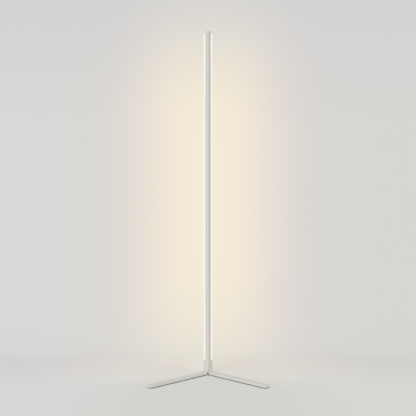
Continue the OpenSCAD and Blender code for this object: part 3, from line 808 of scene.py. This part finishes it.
# %% [markdown]
# ## The light strip
#
# Each chip is a small white housing with a round cup full of yellow phosphor. There are 78 of
# them, so each has only a few dozen faces: its rings go from a rectangle to a circle. A named
# attribute marks the cup, and the material reads it to tell phosphor from housing.

# %% Chips in a row up the strip
CHIP_PITCH, CHIP_COUNT, BOARD_END = 17.0, 78, 4
CHIP_L, CHIP_W, RIM_Z, RIM_SIZE = 3.5, 2.8, 0.55, 0.96
CUP_Z, CUP_TOP_R, CUP_FLOOR_R, CUP_MIDDLE_R = 0.62, 1.15, 0.95, 0.05
LONGEST_PART = 1.2
BOARD_LOW, BOARD_HIGH = POST_TOP + BOARD_END, CAP_BOTTOM - BOARD_END
FIRST_CHIP = (BOARD_LOW + BOARD_HIGH - (CHIP_COUNT - 1) * CHIP_PITCH) / 2
CHIP_DEPTH = WEB_DEPTH + TAPE_T + BOARD_T
ON_STRIP = CHIP_DEPTH / ROOT2 - COLUMN_HALF


def chip_rings():
    """Rings of a chip about +Z: box, rim, cup and the cup's floor.

    The box's twelve points cut each of its sides in three, and a round ring's point lies in
    the same direction: point = radius x box point / its length.
    """
    corners = np.array([[1, -1], [1, 1], [-1, 1], [-1, -1]]) * [CHIP_L / 2, CHIP_W / 2]
    box = filled(corners, LONGEST_PART)
    circle = box / np.linalg.norm(box, axis=1)[:, None]
    cup = [circle * radius for radius in (CUP_TOP_R, CUP_FLOOR_R, CUP_MIDDLE_R)]
    heights = [0, RIM_Z, CHIP_T, CHIP_T, CUP_Z, CUP_Z]
    return standing(np.stack([box, box, box * RIM_SIZE, *cup]), heights)


one_chip = placed(chip_rings(), [ON_STRIP, ON_STRIP, 0], [1, 1, 0])
chip_heights = FIRST_CHIP + CHIP_PITCH * np.arange(CHIP_COUNT)
row_of_chips = joined(*[solid(one_chip + [0, 0, z]) for z in chip_heights])
chips = make_piece("chips", row_of_chips, "phosphor", "led_chips")
ring_in_cup = [0, 0, 0, 0, 1, 1]
mark(chips, "cup", np.tile(np.repeat(ring_in_cup, one_chip.shape[1]), CHIP_COUNT))

# %% [markdown]
# ## The leads and their solder
#
# Two leads climb from the socket through a bush in the post's top to the strip. Their route is
# a smooth curve through a few chosen points, the same as in the CAD source, and a circle is
# carried along it. Each one ends in a small cone of solder, whose sides are hollow because
# molten solder creeps up the wire.

# %% Leads along a smooth curve
LEAD_R, LEAD_GAP = 0.65, 0.1
TAB_T, INSERT_OUT, TAIL_L = 0.4, 1.0, 3.0
SOLDER_UP, SOLDER_HALF_APART = 4, 2.5
TAIL_AT = POST_HALF - SHELL_L - TAB_T - INSERT_OUT - TAIL_L
TAB_AT = (SOCKET_R + INSERT_R) / 2


def smooth_route(route, steps=12):
    """Catmull-Rom: a cubic between b and c with the slopes (c - a) / 2 and (d - b) / 2 there."""
    points = np.asarray(route, float)
    points = np.concatenate([points[:1], points, points[-1:]])
    a, b, c, d = points[:-3, None], points[1:-2, None], points[2:-1, None], points[3:, None]
    t = (np.arange(steps) / steps)[None, :, None]
    curve = b + 0.5 * t * (c - a + t * (2 * a - 5 * b + 4 * c - d + t * (3 * (b - c) + d - a)))
    return np.concatenate([curve.reshape(-1, 3), points[-1:]])


def tube(path, radius, reference=(1, -1, 0)):
    """Rings of a round tube. At each point two directions square to the path carry the circle."""
    way = np.gradient(path, axis=0)
    way /= np.linalg.norm(way, axis=1)[:, None]
    first = np.cross(np.asarray(reference, float), way)
    first /= np.linalg.norm(first, axis=1)[:, None]
    second = np.cross(way, first)
    turn = full_turn(16)[..., None]
    return path[:, None] + radius * (np.cos(turn) * first[:, None] + np.sin(turn) * second[:, None])


def lead_route(v, side):
    """From a solder tail of the socket, up through the bush, over to the strip's end."""
    u, z_joint = TAIL_AT, BOARD_LOW + SOLDER_UP
    apart = side * (LEAD_R + LEAD_GAP) / ROOT2
    joint = (CHIP_DEPTH + CHIP_T) / ROOT2 - COLUMN_HALF
    spread = side * SOLDER_HALF_APART / ROOT2
    low, high = WIRE_AT - apart, WIRE_AT + apart
    bend = [(low + joint - spread) / 2 + 0.6, (high + joint + spread) / 2 + 0.6, z_joint + 0.6]
    return [
        [u, v, SOCKET_Z], [u - 1.5, v, SOCKET_Z], [u - 1.5, v + 2, SOCKET_Z + 2.5],
        [low - 2, high + 0.5, CAVITY_TOP - 2.5],
        *[[low, high, z] for z in (CAVITY_TOP + 1, POST_TOP - 2, POST_TOP + 1.3)],
        bend, [joint - spread, joint + spread, z_joint],
    ]


for name, node, colour, v, side in (
    ("lead_red", "positive_lead", "red_insulation", 0, -1),
    ("lead_black", "negative_lead", "black_insulation", TAB_AT, 1),
):
    make_piece(name, solid(tube(smooth_route(lead_route(v, side)), LEAD_R)), colour, node)

# %% Solder with hollow sides
SOLDER_TOP_R, SOLDER_SPREAD, SOLDER_H, HOLLOWNESS = 0.65, 0.55, 0.8, 2.2
rise = np.linspace(0, 1, 7)
cone = np.c_[SOLDER_TOP_R + SOLDER_SPREAD * (1 - rise) ** HOLLOWNESS, SOLDER_H * rise]
off = SOLDER_HALF_APART / ROOT2
spots = [[ON_STRIP - s * off, ON_STRIP + s * off, BOARD_LOW + SOLDER_UP] for s in (-1, 1)]
both_cones = joined(*[lathed(cone, spot, [1, 1, 0], sides=24) for spot in spots])
make_piece("solder", both_cones, "solder", "solder_joints")

# %% [markdown]
# # Finishes
#
# A material is a little machine of nodes. The helpers below keep its recipe short. What a node
# puts out is a signal here, and signals can be added, multiplied and compared as if they were
# numbers, each time by one Math node. So a recipe reads like the formula that it draws.


# %% Add nodes, and name what they put out
def spaced(label):
    """A socket's name, which has spaces where Python needs an underscore."""
    return label.replace("_", " ")


class Signal:
    """What a node puts out through one socket."""

    def __init__(self, tree, socket):
        self.tree, self.socket = tree, socket


class Outputs:
    """The signals of one node, by name or by number."""

    def __init__(self, tree, node):
        self.tree, self.node = tree, node

    def __getitem__(self, key):
        return Signal(self.tree, self.node.outputs[key])


def add(tree, kind, sockets=(), **settings):
    """A new node. Each socket gets a value or, if it is given a signal, a link."""
    node = tree.nodes.new(kind if kind.startswith("Node") else "ShaderNode" + kind)
    for key, value in settings.items():
        setattr(node, key, value)
    for key, value in dict(sockets).items():
        if isinstance(value, Signal):
            tree.links.new(value.socket, node.inputs[key])
        else:
            node.inputs[key].default_value = value
    return Outputs(tree, node)


def feed(node, **signals):
    """Joins signals to a node's sockets."""
    for key, signal in signals.items():
        signal.tree.links.new(signal.socket, node.inputs[spaced(key)])


# %% Signals that can be used in sums
def sums(tree, operation, *values, clamp=False):
    """The result of one Math node."""
    return add(tree, "Math", dict(enumerate(values)), operation=operation, use_clamp=clamp)[0]


def by_math_node(operation, backwards=False):
    """A method that puts a signal, and the other value if there is one, through a Math node."""

    def method(self, *other):
        return sums(self.tree, operation, *((*other, self) if backwards else (self, *other)))

    return method


MATH_NODES = {
    "__add__": "ADD", "__sub__": "SUBTRACT", "__mul__": "MULTIPLY", "__truediv__": "DIVIDE",
    "__pow__": "POWER", "__lt__": "LESS_THAN", "__gt__": "GREATER_THAN", "__abs__": "ABSOLUTE",
    "exp": "EXPONENT", "at_least": "MAXIMUM", "at_most": "MINIMUM",
}
for method_name, operation in MATH_NODES.items():
    setattr(Signal, method_name, by_math_node(operation))
Signal.__rsub__ = by_math_node("SUBTRACT", backwards=True)
print("a signal knows", ", ".join(MATH_NODES.values()).lower())

# %% Groups, places and colours
SCALAR, VECTOR = "NodeSocketFloat", "NodeSocketVector"


def new_group(name, outputs, **inputs):
    """A shader group with named sockets: its tree, its inputs' signals, and its last node."""
    tree = bpy.data.node_groups.new(name, "ShaderNodeTree")
    for label, value in inputs.items():
        kind = VECTOR if isinstance(value, tuple) else SCALAR
        socket = tree.interface.new_socket(spaced(label), in_out="INPUT", socket_type=kind)
        socket.default_value = value
    for label, kind in outputs.items():
        tree.interface.new_socket(label, in_out="OUTPUT", socket_type=kind)
    print(f"group {name}: {', '.join(inputs) or 'no inputs'} to {', '.join(outputs)}")
    return tree, add(tree, "NodeGroupInput"), tree.nodes.new("NodeGroupOutput")


def use(tree, group, **values):
    """A group placed in a material, with its own values."""
    sockets = {spaced(key): value for key, value in values.items()}
    return add(tree, "Group", sockets, node_tree=group)


def object_place(tree):
    """The place on the piece in metres."""
    return add(tree, "TexCoord")["Object"]


def object_axes(tree):
    """The X, Y and Z of that place."""
    return add(tree, "SeparateXYZ", {0: object_place(tree)})


def blended(share, first, second):
    """A colour between two others."""
    return add(share.tree, "Mix", {0: share, 6: first, 7: second}, data_type="RGBA")[2]


def dimmed(colour, factor):
    """A colour times a signal."""
    return add(factor.tree, "VectorMath", {0: colour, "Scale": factor}, operation="SCALE")[0]


# %% [markdown]
# ## Groups for surfaces
#
# Powder coat shows a very fine orange peel, because the powder melts into a film that isn't
# quite level. Moulded and machined surfaces have their own fine relief. One group makes any of
# these bumps from a noise at a chosen size, and stretches it where a tool has drawn lines.
#
# No paint or plastic is quite even over its whole length, either. A second group turns a slow
# noise into a value between two limits. A finish uses it for its roughness, and to mix two
# close colours.


# %% Groups for fine relief and for unevenness
EVENLY = (1, 1, 1)
NOISE_LOW, NOISE_HIGH = 0.3, 0.7


def noise(tree, values, detail):
    """Noise of the group's size in millimetres, drawn out by its stretch."""
    where = {0: object_place(tree), 1: values["Stretch"]}
    stretched = add(tree, "VectorMath", where, operation="MULTIPLY")[0]
    per_metre = sums(tree, "DIVIDE", 1000.0, values["Size"])
    return add(tree, "TexNoise", {"Vector": stretched, "Scale": per_metre, "Detail": detail})[0]


fine_relief, values, result = new_group(
    "fine relief", {"Normal": VECTOR}, Size=1.0, Depth=0.01, Stretch=EVENLY
)
grain = {"Height": noise(fine_relief, values, 2.0), "Distance": values["Depth"] * MM}
feed(result, Normal=add(fine_relief, "Bump", {**grain, "Strength": 1.0})[0])

unevenness, values, result = new_group(
    "unevenness", {"Value": SCALAR}, Size=60.0, Low=0.0, High=1.0, Stretch=EVENLY
)
slow = {"Value": noise(unevenness, values, 3.0), "From Min": NOISE_LOW, "From Max": NOISE_HIGH}
share = add(unevenness, "MapRange", slow)[0]
feed(result, Value=share * (values["High"] - values["Low"]) + values["Low"])

# %% [markdown]
# ## Edges
#
# Powder creeps back from a sharp edge while it melts, so the coat there is thinner. The lighter
# band along each edge stands for that thinner coat and is also a painted highlight, the line of
# light that a rounded edge catches. The lamp's bars are square and straight, so the distance to
# an edge needs no scanning of the mesh: it is the larger of the distances to the two faces that
# meet there.

# %% A group for the square frame in millimetres, and one for the band beside a bar's edges
square_frame, _, result = new_group(
    "square frame", {"Right": SCALAR, "Left": SCALAR, "Up": SCALAR}
)
x, y, z = object_axes(square_frame)
across, along = x * (1000 / ROOT2), y * (1000 / ROOT2)
feed(result, Right=along + across, Left=along - across, Up=z * 1000.0)

edge_band, values, result = new_group(
    "edge band", {"Mask": SCALAR},
    First=0.0, First_half=10.0, Second=0.0, Second_half=10.0, Width=1.0,
)
first_gap = values["First half"] - abs(values["First"])
second_gap = values["Second half"] - abs(values["Second"])
gap = first_gap.at_least(second_gap)
from_edge = sums(edge_band, "DIVIDE", gap, values["Width"], clamp=True)
feed(result, Mask=1.0 - from_edge)

# %% [markdown]
# ## A finish and where it goes
#
# Each finish is a material with one Principled shader. A number that is the same all over is
# set on the shader's own socket, so that an export keeps it. The record's slot names tell which
# pieces and which CAD nodes wear it.


# %% Start a material, and put it on its pieces
def new_material(name, **sockets):
    """A material with one Principled shader, its tree and its shader, for a recipe to feed."""
    material = bpy.data.materials.new(name)
    material.use_nodes = True
    shader = material.node_tree.nodes["Principled BSDF"]
    for key, value in sockets.items():
        shader.inputs[spaced(key)].default_value = value
    return material, material.node_tree, shader


slot_of_node = {row["node"]: row["material_slot"] for row in frame["record"]["subparts"]}


def dress(material, slot):
    """Puts a material on every new piece of the slot and on the slot's CAD nodes that show."""
    worn_by = []
    for thing in bpy.data.objects:
        if thing.type != "MESH" or thing.hide_render:
            continue
        if thing.get("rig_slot") == slot and "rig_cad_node" not in thing:
            thing.data.materials.clear()
            thing.data.materials.append(material)
            worn_by.append(thing.name)
        elif slot_of_node.get(thing.get("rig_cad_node")) == slot:
            for place in thing.material_slots:
                place.material = material
            worn_by.append(thing.name)
    print(f"{material.name}: {', '.join(worn_by)}")


# %% [markdown]
# ## Powder coat, warm white
#
# The column's front, the post, the cap and both legs wear the same matt powder coat. The two
# recipes differ only in where their edges lie, so one function makes both.


# %% The powder coat
# share of the lighter edge colour, which is partly a thinner coat and partly a painted highlight
THIN_COAT_AND_HIGHLIGHT = 0.35


def powder_coat(name, slot, edges):
    """Warm white powder coat: close tones, a lighter line on edges, satin gloss, orange peel."""
    material, tree, shader = new_material(name, Specular_IOR_Level=0.45)
    mask = use(tree, edge_band, Width=0.9, **edges(*use(tree, square_frame)))[0]
    tone = use(tree, unevenness, Size=90.0)[0]
    coat = blended(tone, (0.70, 0.694, 0.662, 1), (0.685, 0.679, 0.646, 1))
    feed(
        shader,
        Base_Color=blended(mask * THIN_COAT_AND_HIGHLIGHT, coat, (0.75, 0.745, 0.715, 1)),
        Roughness=use(tree, unevenness, Size=14.0, Low=0.43, High=0.47)[0],
        Normal=use(tree, fine_relief, Size=1.1, Depth=0.02)["Normal"],
    )
    dress(material, slot)


def column_edges(right, left, up):
    """The column's faces, which meet in its four upright edges."""
    return {"First": right, "First_half": POST_HALF, "Second": left, "Second_half": POST_HALF}


def leg_edges(right, left, up):
    """A leg's sides, across the smaller of the two directions, and its upper and lower face."""
    across, height = abs(right).at_most(abs(left)), up - (PAD_T + LEG_T / 2)
    return {"First": across, "First_half": POST_HALF, "Second": height, "Second_half": LEG_T / 2}


powder_coat("column coat", "painted_aluminium", column_edges)
powder_coat("leg coat", "painted_steel", leg_edges)

# %% [markdown]
# ## The lit cover
#
# The cover is opal plastic with light behind it. It reflects a little and shines of itself, so
# most of its colour is emission. Its brightness attribute dims the warm light near the ends.

# %% Opal plastic with light inside
opal, tree, shader = new_material("lit opal", Emission_Strength=1.0, Specular_IOR_Level=0.3)
cloud = use(tree, unevenness, Size=160.0, Low=0.985, High=1.0)[0]
level = add(tree, "Attribute", attribute_name="lit")["Fac"] * cloud
mottle = use(tree, unevenness, Size=40.0)[0]
feed(
    shader,
    Base_Color=blended(mottle, (0.22, 0.22, 0.217, 1), (0.21, 0.21, 0.206, 1)),
    Emission_Color=dimmed((0.785, 0.768, 0.665), level),
    Roughness=use(tree, unevenness, Size=10.0, Low=0.5, High=0.6)[0],
    Normal=use(tree, fine_relief, Size=0.7, Depth=0.006)["Normal"],
)
dress(opal, "lit_diffuser")

# %% [markdown]
# ## The light strip
#
# The board is white solder mask over copper. Two wide tracks run its whole length, and the mask
# stands up a little over them. The chips are white housings with phosphor in their cups, and a
# resistor is a dark body between two tinned ends.

# %% White board with two raised tracks
TRACK_OFF, TRACK_HALF, TRACK_RISE = 3.5 * MM, 0.7 * MM, 0.04 * MM
board_white, tree, shader = new_material("white solder mask", Specular_IOR_Level=0.5)
track = abs(abs(object_axes(tree)["X"]) - TRACK_OFF) < TRACK_HALF
raised = {"Height": track, "Distance": TRACK_RISE, "Strength": 1.0}
feed(
    shader,
    Base_Color=blended(track, (0.80, 0.80, 0.79, 1), (0.84, 0.83, 0.78, 1)),
    Roughness=use(tree, unevenness, Size=6.0, Low=0.32, High=0.45)[0],
    Normal=add(tree, "Bump", raised)[0],
)
dress(board_white, "white_board")

# %% Chips: white housing, warm phosphor
chip_finish, tree, shader = new_material("chip with phosphor", Emission_Strength=1.0)
in_cup = add(tree, "Attribute", attribute_name="cup")["Fac"]
crystals = use(tree, unevenness, Size=0.5)[0]
phosphor = blended(crystals, (0.90, 0.66, 0.12, 1), (0.95, 0.74, 0.20, 1))
feed(
    shader,
    Base_Color=blended(in_cup, (0.82, 0.82, 0.80, 1), phosphor),
    Emission_Color=blended(in_cup, (0, 0, 0, 1), (0.9, 0.80, 0.50, 1)),
    Roughness=use(tree, unevenness, Size=2.0, Low=0.4, High=0.55)[0],
)
dress(chip_finish, "phosphor")

# %% Resistors: a dark body between two tinned ends
BODY_HALF = 1.25 * MM
resistor_finish, tree, shader = new_material("chip resistor")
end = abs(object_axes(tree)["X"]) > BODY_HALF
speckle = use(tree, unevenness, Size=0.3)[0]
body = blended(speckle, (0.018, 0.018, 0.02, 1), (0.03, 0.03, 0.032, 1))
feed(
    shader,
    Base_Color=blended(end, body, (0.68, 0.68, 0.69, 1)),
    Metallic=end,
    Roughness=use(tree, unevenness, Size=0.8, Low=0.28, High=0.42)[0],
)
dress(resistor_finish, "resistor_black")

# %% [markdown]
# ## Metals, rubber and plastics
#
# A metal's colour is its reflection, so a metal is mostly roughness. Drawn bar has long lines
# along it, turned parts are finer, and a nickel finish is smooth. Rubber is the dullest of the
# soft parts, wire insulation the smoothest, and foam tape the coarsest. All of them are one
# recipe: two close tones, uneven gloss, and the relief that a tool or a mould has left.


# %% One recipe for metals and plastics
def grained(name, slot, light, dark, rough, grain, depth, patches, stretch=EVENLY, **sockets):
    """Two close tones, uneven gloss and fine relief, all drawn out the same way.

    grain and depth are in millimetres. patches says how many grains wide a patch of tone and
    a patch of gloss are.
    """
    material, tree, shader = new_material(name, **sockets)
    tone, gloss = (
        use(tree, unevenness, Size=grain * patch, Low=low, High=high, Stretch=stretch)[0]
        for patch, (low, high) in zip(patches, ((0.0, 1.0), rough))
    )
    feed(
        shader,
        Base_Color=blended(tone, (*light, 1), (*dark, 1)),
        Roughness=gloss,
        Normal=use(tree, fine_relief, Size=grain, Depth=depth, Stretch=stretch)["Normal"],
    )
    dress(material, slot)


# %% Name, slot, two tones, roughness, grain and its depth, for each metal
ALONG_Z = (1, 1, 0.04)
for *recipe, stretch in (
    ("drawn steel", "bare_steel", (0.58, 0.58, 0.59), (0.50, 0.50, 0.52),
     (0.28, 0.42), 0.5, 0.006, ALONG_Z),
    ("blackened steel", "black_screw", (0.045, 0.044, 0.043), (0.03, 0.03, 0.032),
     (0.38, 0.52), 0.4, 0.004, EVENLY),
    ("bright nickel", "nickel", (0.70, 0.67, 0.62), (0.66, 0.63, 0.585),
     (0.16, 0.26), 0.6, 0.002, EVENLY),
    ("turned brass", "brass", (0.80, 0.60, 0.29), (0.74, 0.53, 0.24),
     (0.22, 0.34), 0.5, 0.003, EVENLY),
    ("tin solder", "solder", (0.74, 0.74, 0.75), (0.66, 0.66, 0.68),
     (0.18, 0.36), 0.35, 0.010, EVENLY),
):
    grained(*recipe, patches=(4, 2), stretch=stretch, Metallic=1.0)

# %% The same for each rubber and plastic
for recipe in (
    ("foot rubber", "foot_rubber", (0.045, 0.045, 0.046), (0.032, 0.032, 0.033),
     (0.72, 0.88), 0.5, 0.03),
    ("black plastic", "black_plastic", (0.032, 0.032, 0.034), (0.024, 0.024, 0.026),
     (0.42, 0.55), 0.35, 0.01),
    ("grey foam tape", "grey_tape", (0.30, 0.30, 0.31), (0.22, 0.22, 0.23),
     (0.8, 0.95), 0.25, 0.05),
    ("red insulation", "red_insulation", (0.55, 0.03, 0.025), (0.46, 0.022, 0.02),
     (0.36, 0.48), 0.6, 0.004),
    ("black insulation", "black_insulation", (0.028, 0.028, 0.03), (0.02, 0.02, 0.021),
     (0.36, 0.48), 0.6, 0.004),
):
    grained(*recipe, patches=(9, 5), Specular_IOR_Level=0.4)

# %% [markdown]
# # The studio
#
# The lamp stands on a pale floor in front of a pale wall, close behind it. From the front the
# two run into each other with hardly a line. Beyond the wall's soft edges the world has the same
# colour, and the floor fades into it with distance, so that the lamp can be seen from all sides.

# %% The camera stands level, a little under half the lamp's height
PICTURE_SIDE, FOCAL_PIXELS, SENSOR = 416, 688.5, 36.0
CAMERA_BACK, CAMERA_UP = 2.8587, 0.6891
camera = bpy.data.objects.new("camera", bpy.data.cameras.new("camera"))
bpy.context.scene.collection.objects.link(camera)
camera.data.sensor_width = SENSOR
camera.data.lens = SENSOR * FOCAL_PIXELS / PICTURE_SIDE
camera.location = (0, -CAMERA_BACK, CAMERA_UP)
camera.rotation_euler = (math.pi / 2, 0, 0)
bpy.context.scene.camera = camera
bpy.context.scene.view_settings.view_transform = "Standard"
print(f"lens {camera.data.lens:.2f} mm")

# %% [markdown]
# ## Light
#
# Plain soft light comes from all round, and a wide soft sun from the front left adds the small
# difference between the column's two faces. The world shows one colour to the camera, and to
# anything shiny or clear, and lights the lamp with another.


# %% World and sun
def to_the_eye(tree):
    """1 for what the camera sees, also in a mirror or through glass, and 0 for light."""
    path = add(tree, "LightPath")
    seen = path["Is Camera Ray"].at_least(path["Is Glossy Ray"])
    return seen.at_least(path["Is Transmission Ray"])


AMBIENT, BACKDROP = (0.60, 0.60, 0.60, 1), (0.688, 0.682, 0.668, 1)
world = bpy.data.worlds.new("studio")
bpy.context.scene.world = world
world.use_nodes = True
sky = world.node_tree
sky.nodes.clear()
ambient, backdrop = (
    add(sky, "Background", {"Color": colour, "Strength": 1.0})[0] for colour in (AMBIENT, BACKDROP)
)
mixed = add(sky, "MixShader", {0: to_the_eye(sky), 1: ambient, 2: backdrop})[0]
add(sky, "OutputWorld", {"Surface": mixed})

TO_SUN, SUN_ANGLE = Vector((-0.104, -0.363, 0.22)), 50
sun = bpy.data.objects.new("soft sun", bpy.data.lights.new("soft sun", "SUN"))
bpy.context.scene.collection.objects.link(sun)
sun.data.energy = math.pi * TO_SUN.length
sun.data.angle = math.radians(SUN_ANGLE)
sun.rotation_euler = TO_SUN.to_track_quat("Z", "Y").to_euler()
print(f"sun strength {sun.data.energy:.2f}")

# %% [markdown]
# ## Floor, wall and glow
#
# The cover's warm light on the wall and the floor behind it is painted glow in their materials,
# and the corner between them is painted shade, a little darker. The floor is painted a little
# darker along the lamp's middle, and the wall towards its top, as shade too. Such soft changes
# are humps, exp(-(distance / width) to a power), or smooth steps, so a group and two short
# helpers make them all. The wall is a card that shows only from the front and is clear from
# behind, and no light of the lamp comes from it.

# %% A group for a soft hump of light
soft_hump, values, result = new_group(
    "soft hump", {"Value": SCALAR}, Distance=0.0, Width=1.0, Power=2.0
)
ratio = abs(values["Distance"]) / values["Width"]
feed(result, Value=(ratio ** values["Power"] * -1.0).exp())


# %% Helpers for the studio
def stage_piece(name, vertices, material):
    """A flat part of the studio, not of the lamp."""
    mesh = bpy.data.meshes.new(name)
    mesh.from_pydata(np.asarray(vertices, float).tolist(), [], [list(range(len(vertices)))])
    mesh.materials.append(material)
    thing = bpy.data.objects.new(name, mesh)
    bpy.context.scene.collection.objects.link(thing)
    print(f"{name}: {len(vertices)} corners")
    return thing


def blank_material(name):
    """A material with an empty tree, and its tree."""
    material = bpy.data.materials.new(name)
    material.use_nodes = True
    material.node_tree.nodes.clear()
    return material, material.node_tree


def half_clear(tree, clear, surface):
    """Ends a material: the surface where clear is 0, and nothing where it is 1."""
    nothing = add(tree, "BsdfTransparent")[0]
    mixed = add(tree, "MixShader", {0: clear, 1: surface, 2: nothing})[0]
    add(tree, "OutputMaterial", {"Surface": mixed})


def ramp(value, low, high):
    """0 below low, 1 above high, and a smooth step between them."""
    limits = {"Value": value, "From Min": low, "From Max": high}
    return add(value.tree, "MapRange", limits, interpolation_type="SMOOTHSTEP")[0]


def falling(value, length):
    """exp(-value / length)."""
    return (value * (-1 / length)).exp()


def warm_light(across, fade, width, colour, power):
    """Warm light that reaches width metres out for red and an eighth less for green and blue."""
    red, green = (
        use(across.tree, soft_hump, Distance=across, Width=reach, Power=power)[0]
        for reach in (width, width * 7 / 8)
    )
    parts = [share * fade * level for share, level in zip((red, green, green), colour)]
    return add(across.tree, "CombineXYZ", dict(enumerate(parts)))[0]


def plus(first, second):
    """Two colours of light together."""
    return add(first.tree, "VectorMath", {0: first, 1: second}, operation="ADD")[0]


# %% The floor, a disc that fades into the backdrop and is clear from below
WALL_Y, BEHIND_WALL, UNDER_PADS = 0.3, 0.15, -0.0001
FLOOR_R, FLOOR_SIDES, FADE_FROM, FADE_TO = 2.3, 96, 0.8, 2.2
CORNER_REACH, FLOOR_SHADE = 0.6, 0.062
floor_paint, tree = blank_material("studio floor")
x, y, _ = object_axes(tree)
distance = add(tree, "VectorMath", {0: object_place(tree)}, operation="LENGTH")["Value"]
away = ramp(distance, FADE_FROM, FADE_TO).at_least(add(tree, "NewGeometry")["Backfacing"])
before_wall = 1.0 - ramp(y, WALL_Y, WALL_Y + BEHIND_WALL)
corner_shade = ramp(y, WALL_Y - CORNER_REACH, WALL_Y) * before_wall * FLOOR_SHADE
far_paint = blended(ramp(x, -0.5, 0.5), (0.829, 0.827, 0.818, 1), (0.826, 0.824, 0.803, 1))
# Painted shade: the floor's colour is a little darker along the lamp's middle.
paint = blended(ramp(abs(x), 0.15, 0.6), (0.80, 0.791, 0.762, 1), far_paint)
lit_floor = add(tree, "BsdfDiffuse", {"Color": dimmed(paint, 1.0 - corner_shade)})[0]

# The painted front keeps the light off the floor between the legs. Behind them the glow has a
# wide part, a narrow one, and a small one close to the post.
open_to_light = ramp(y + abs(x), 0.0, 0.08)
wide = ramp(y, -0.26, -0.03) * open_to_light * before_wall
narrow = ramp(y, -0.05, WALL_Y) * before_wall
by_post = ramp(y, 0.0, 0.06) * before_wall
glow = plus(
    warm_light(x, wide, 0.60, (0.068, 0.059, 0.030), 4.0),
    warm_light(x, narrow, 0.38, (0.088, 0.050, 0.030), 2.6),
)
glow = plus(glow, warm_light(x, by_post, 0.07, (0.060, 0.050, 0.038), 2.0))
floor_glow = add(tree, "Emission", {"Color": glow})[0]
half_clear(tree, away, add(tree, "AddShader", {0: lit_floor, 1: floor_glow})[0])

stage_piece("floor", around(full_turn(FLOOR_SIDES), (FLOOR_R, UNDER_PADS))[0], floor_paint)

# %% The wall, a card that only shows from the front
WALL_W, WALL_H, WALL_FADE = 1.3, 2.0, 0.3
FOOT_FADE, FOOT_SHADE, TOP_FROM, TOP_SHADE = 0.05, 0.053, 1.10, 0.097
GLOW_MIDDLE, GLOW_HALF_H = 0.76, 0.764
wall_paint, tree = blank_material("studio wall")
x, _, z = object_axes(tree)
corner_shade = falling(z, FOOT_FADE) * FOOT_SHADE
top_shade = (z - TOP_FROM).at_least(0.0) * TOP_SHADE
paint = blended(ramp(x, -0.75, -0.5), (0.690, 0.689, 0.682, 1), (0.691, 0.687, 0.660, 1))
paint = blended(ramp(x, -0.4, 0.9), paint, (0.681, 0.672, 0.656, 1))
paint = blended(ramp(z, 1.1, 1.6), paint, (0.686, 0.684, 0.680, 1))
paint = dimmed(paint, 1.0 - (corner_shade + top_shade))

from_middle = z - GLOW_MIDDLE
behind_column = use(tree, soft_hump, Distance=from_middle, Width=GLOW_HALF_H, Power=4.0)[0]
glow = plus(
    warm_light(x, behind_column, 0.342, (0.225, 0.149, 0.022), 2.6),
    warm_light(x, falling(z, 0.15), 0.62, (0.034, 0.029, 0.019), 2.0),
)
opacity = (
    to_the_eye(tree)
    * (1.0 - add(tree, "NewGeometry")["Backfacing"])
    * (1.0 - ramp(abs(x), WALL_W - WALL_FADE, WALL_W))
    * (1.0 - ramp(z, WALL_H - WALL_FADE, WALL_H))
)
half_clear(tree, 1.0 - opacity, add(tree, "Emission", {"Color": plus(paint, glow)})[0])

card = [[side * WALL_W, WALL_Y, up * WALL_H] for side, up in ((-1, 0), (1, 0), (1, 1), (-1, 1))]
wall = stage_piece("wall", card, wall_paint)
wall.visible_shadow = wall.visible_diffuse = False
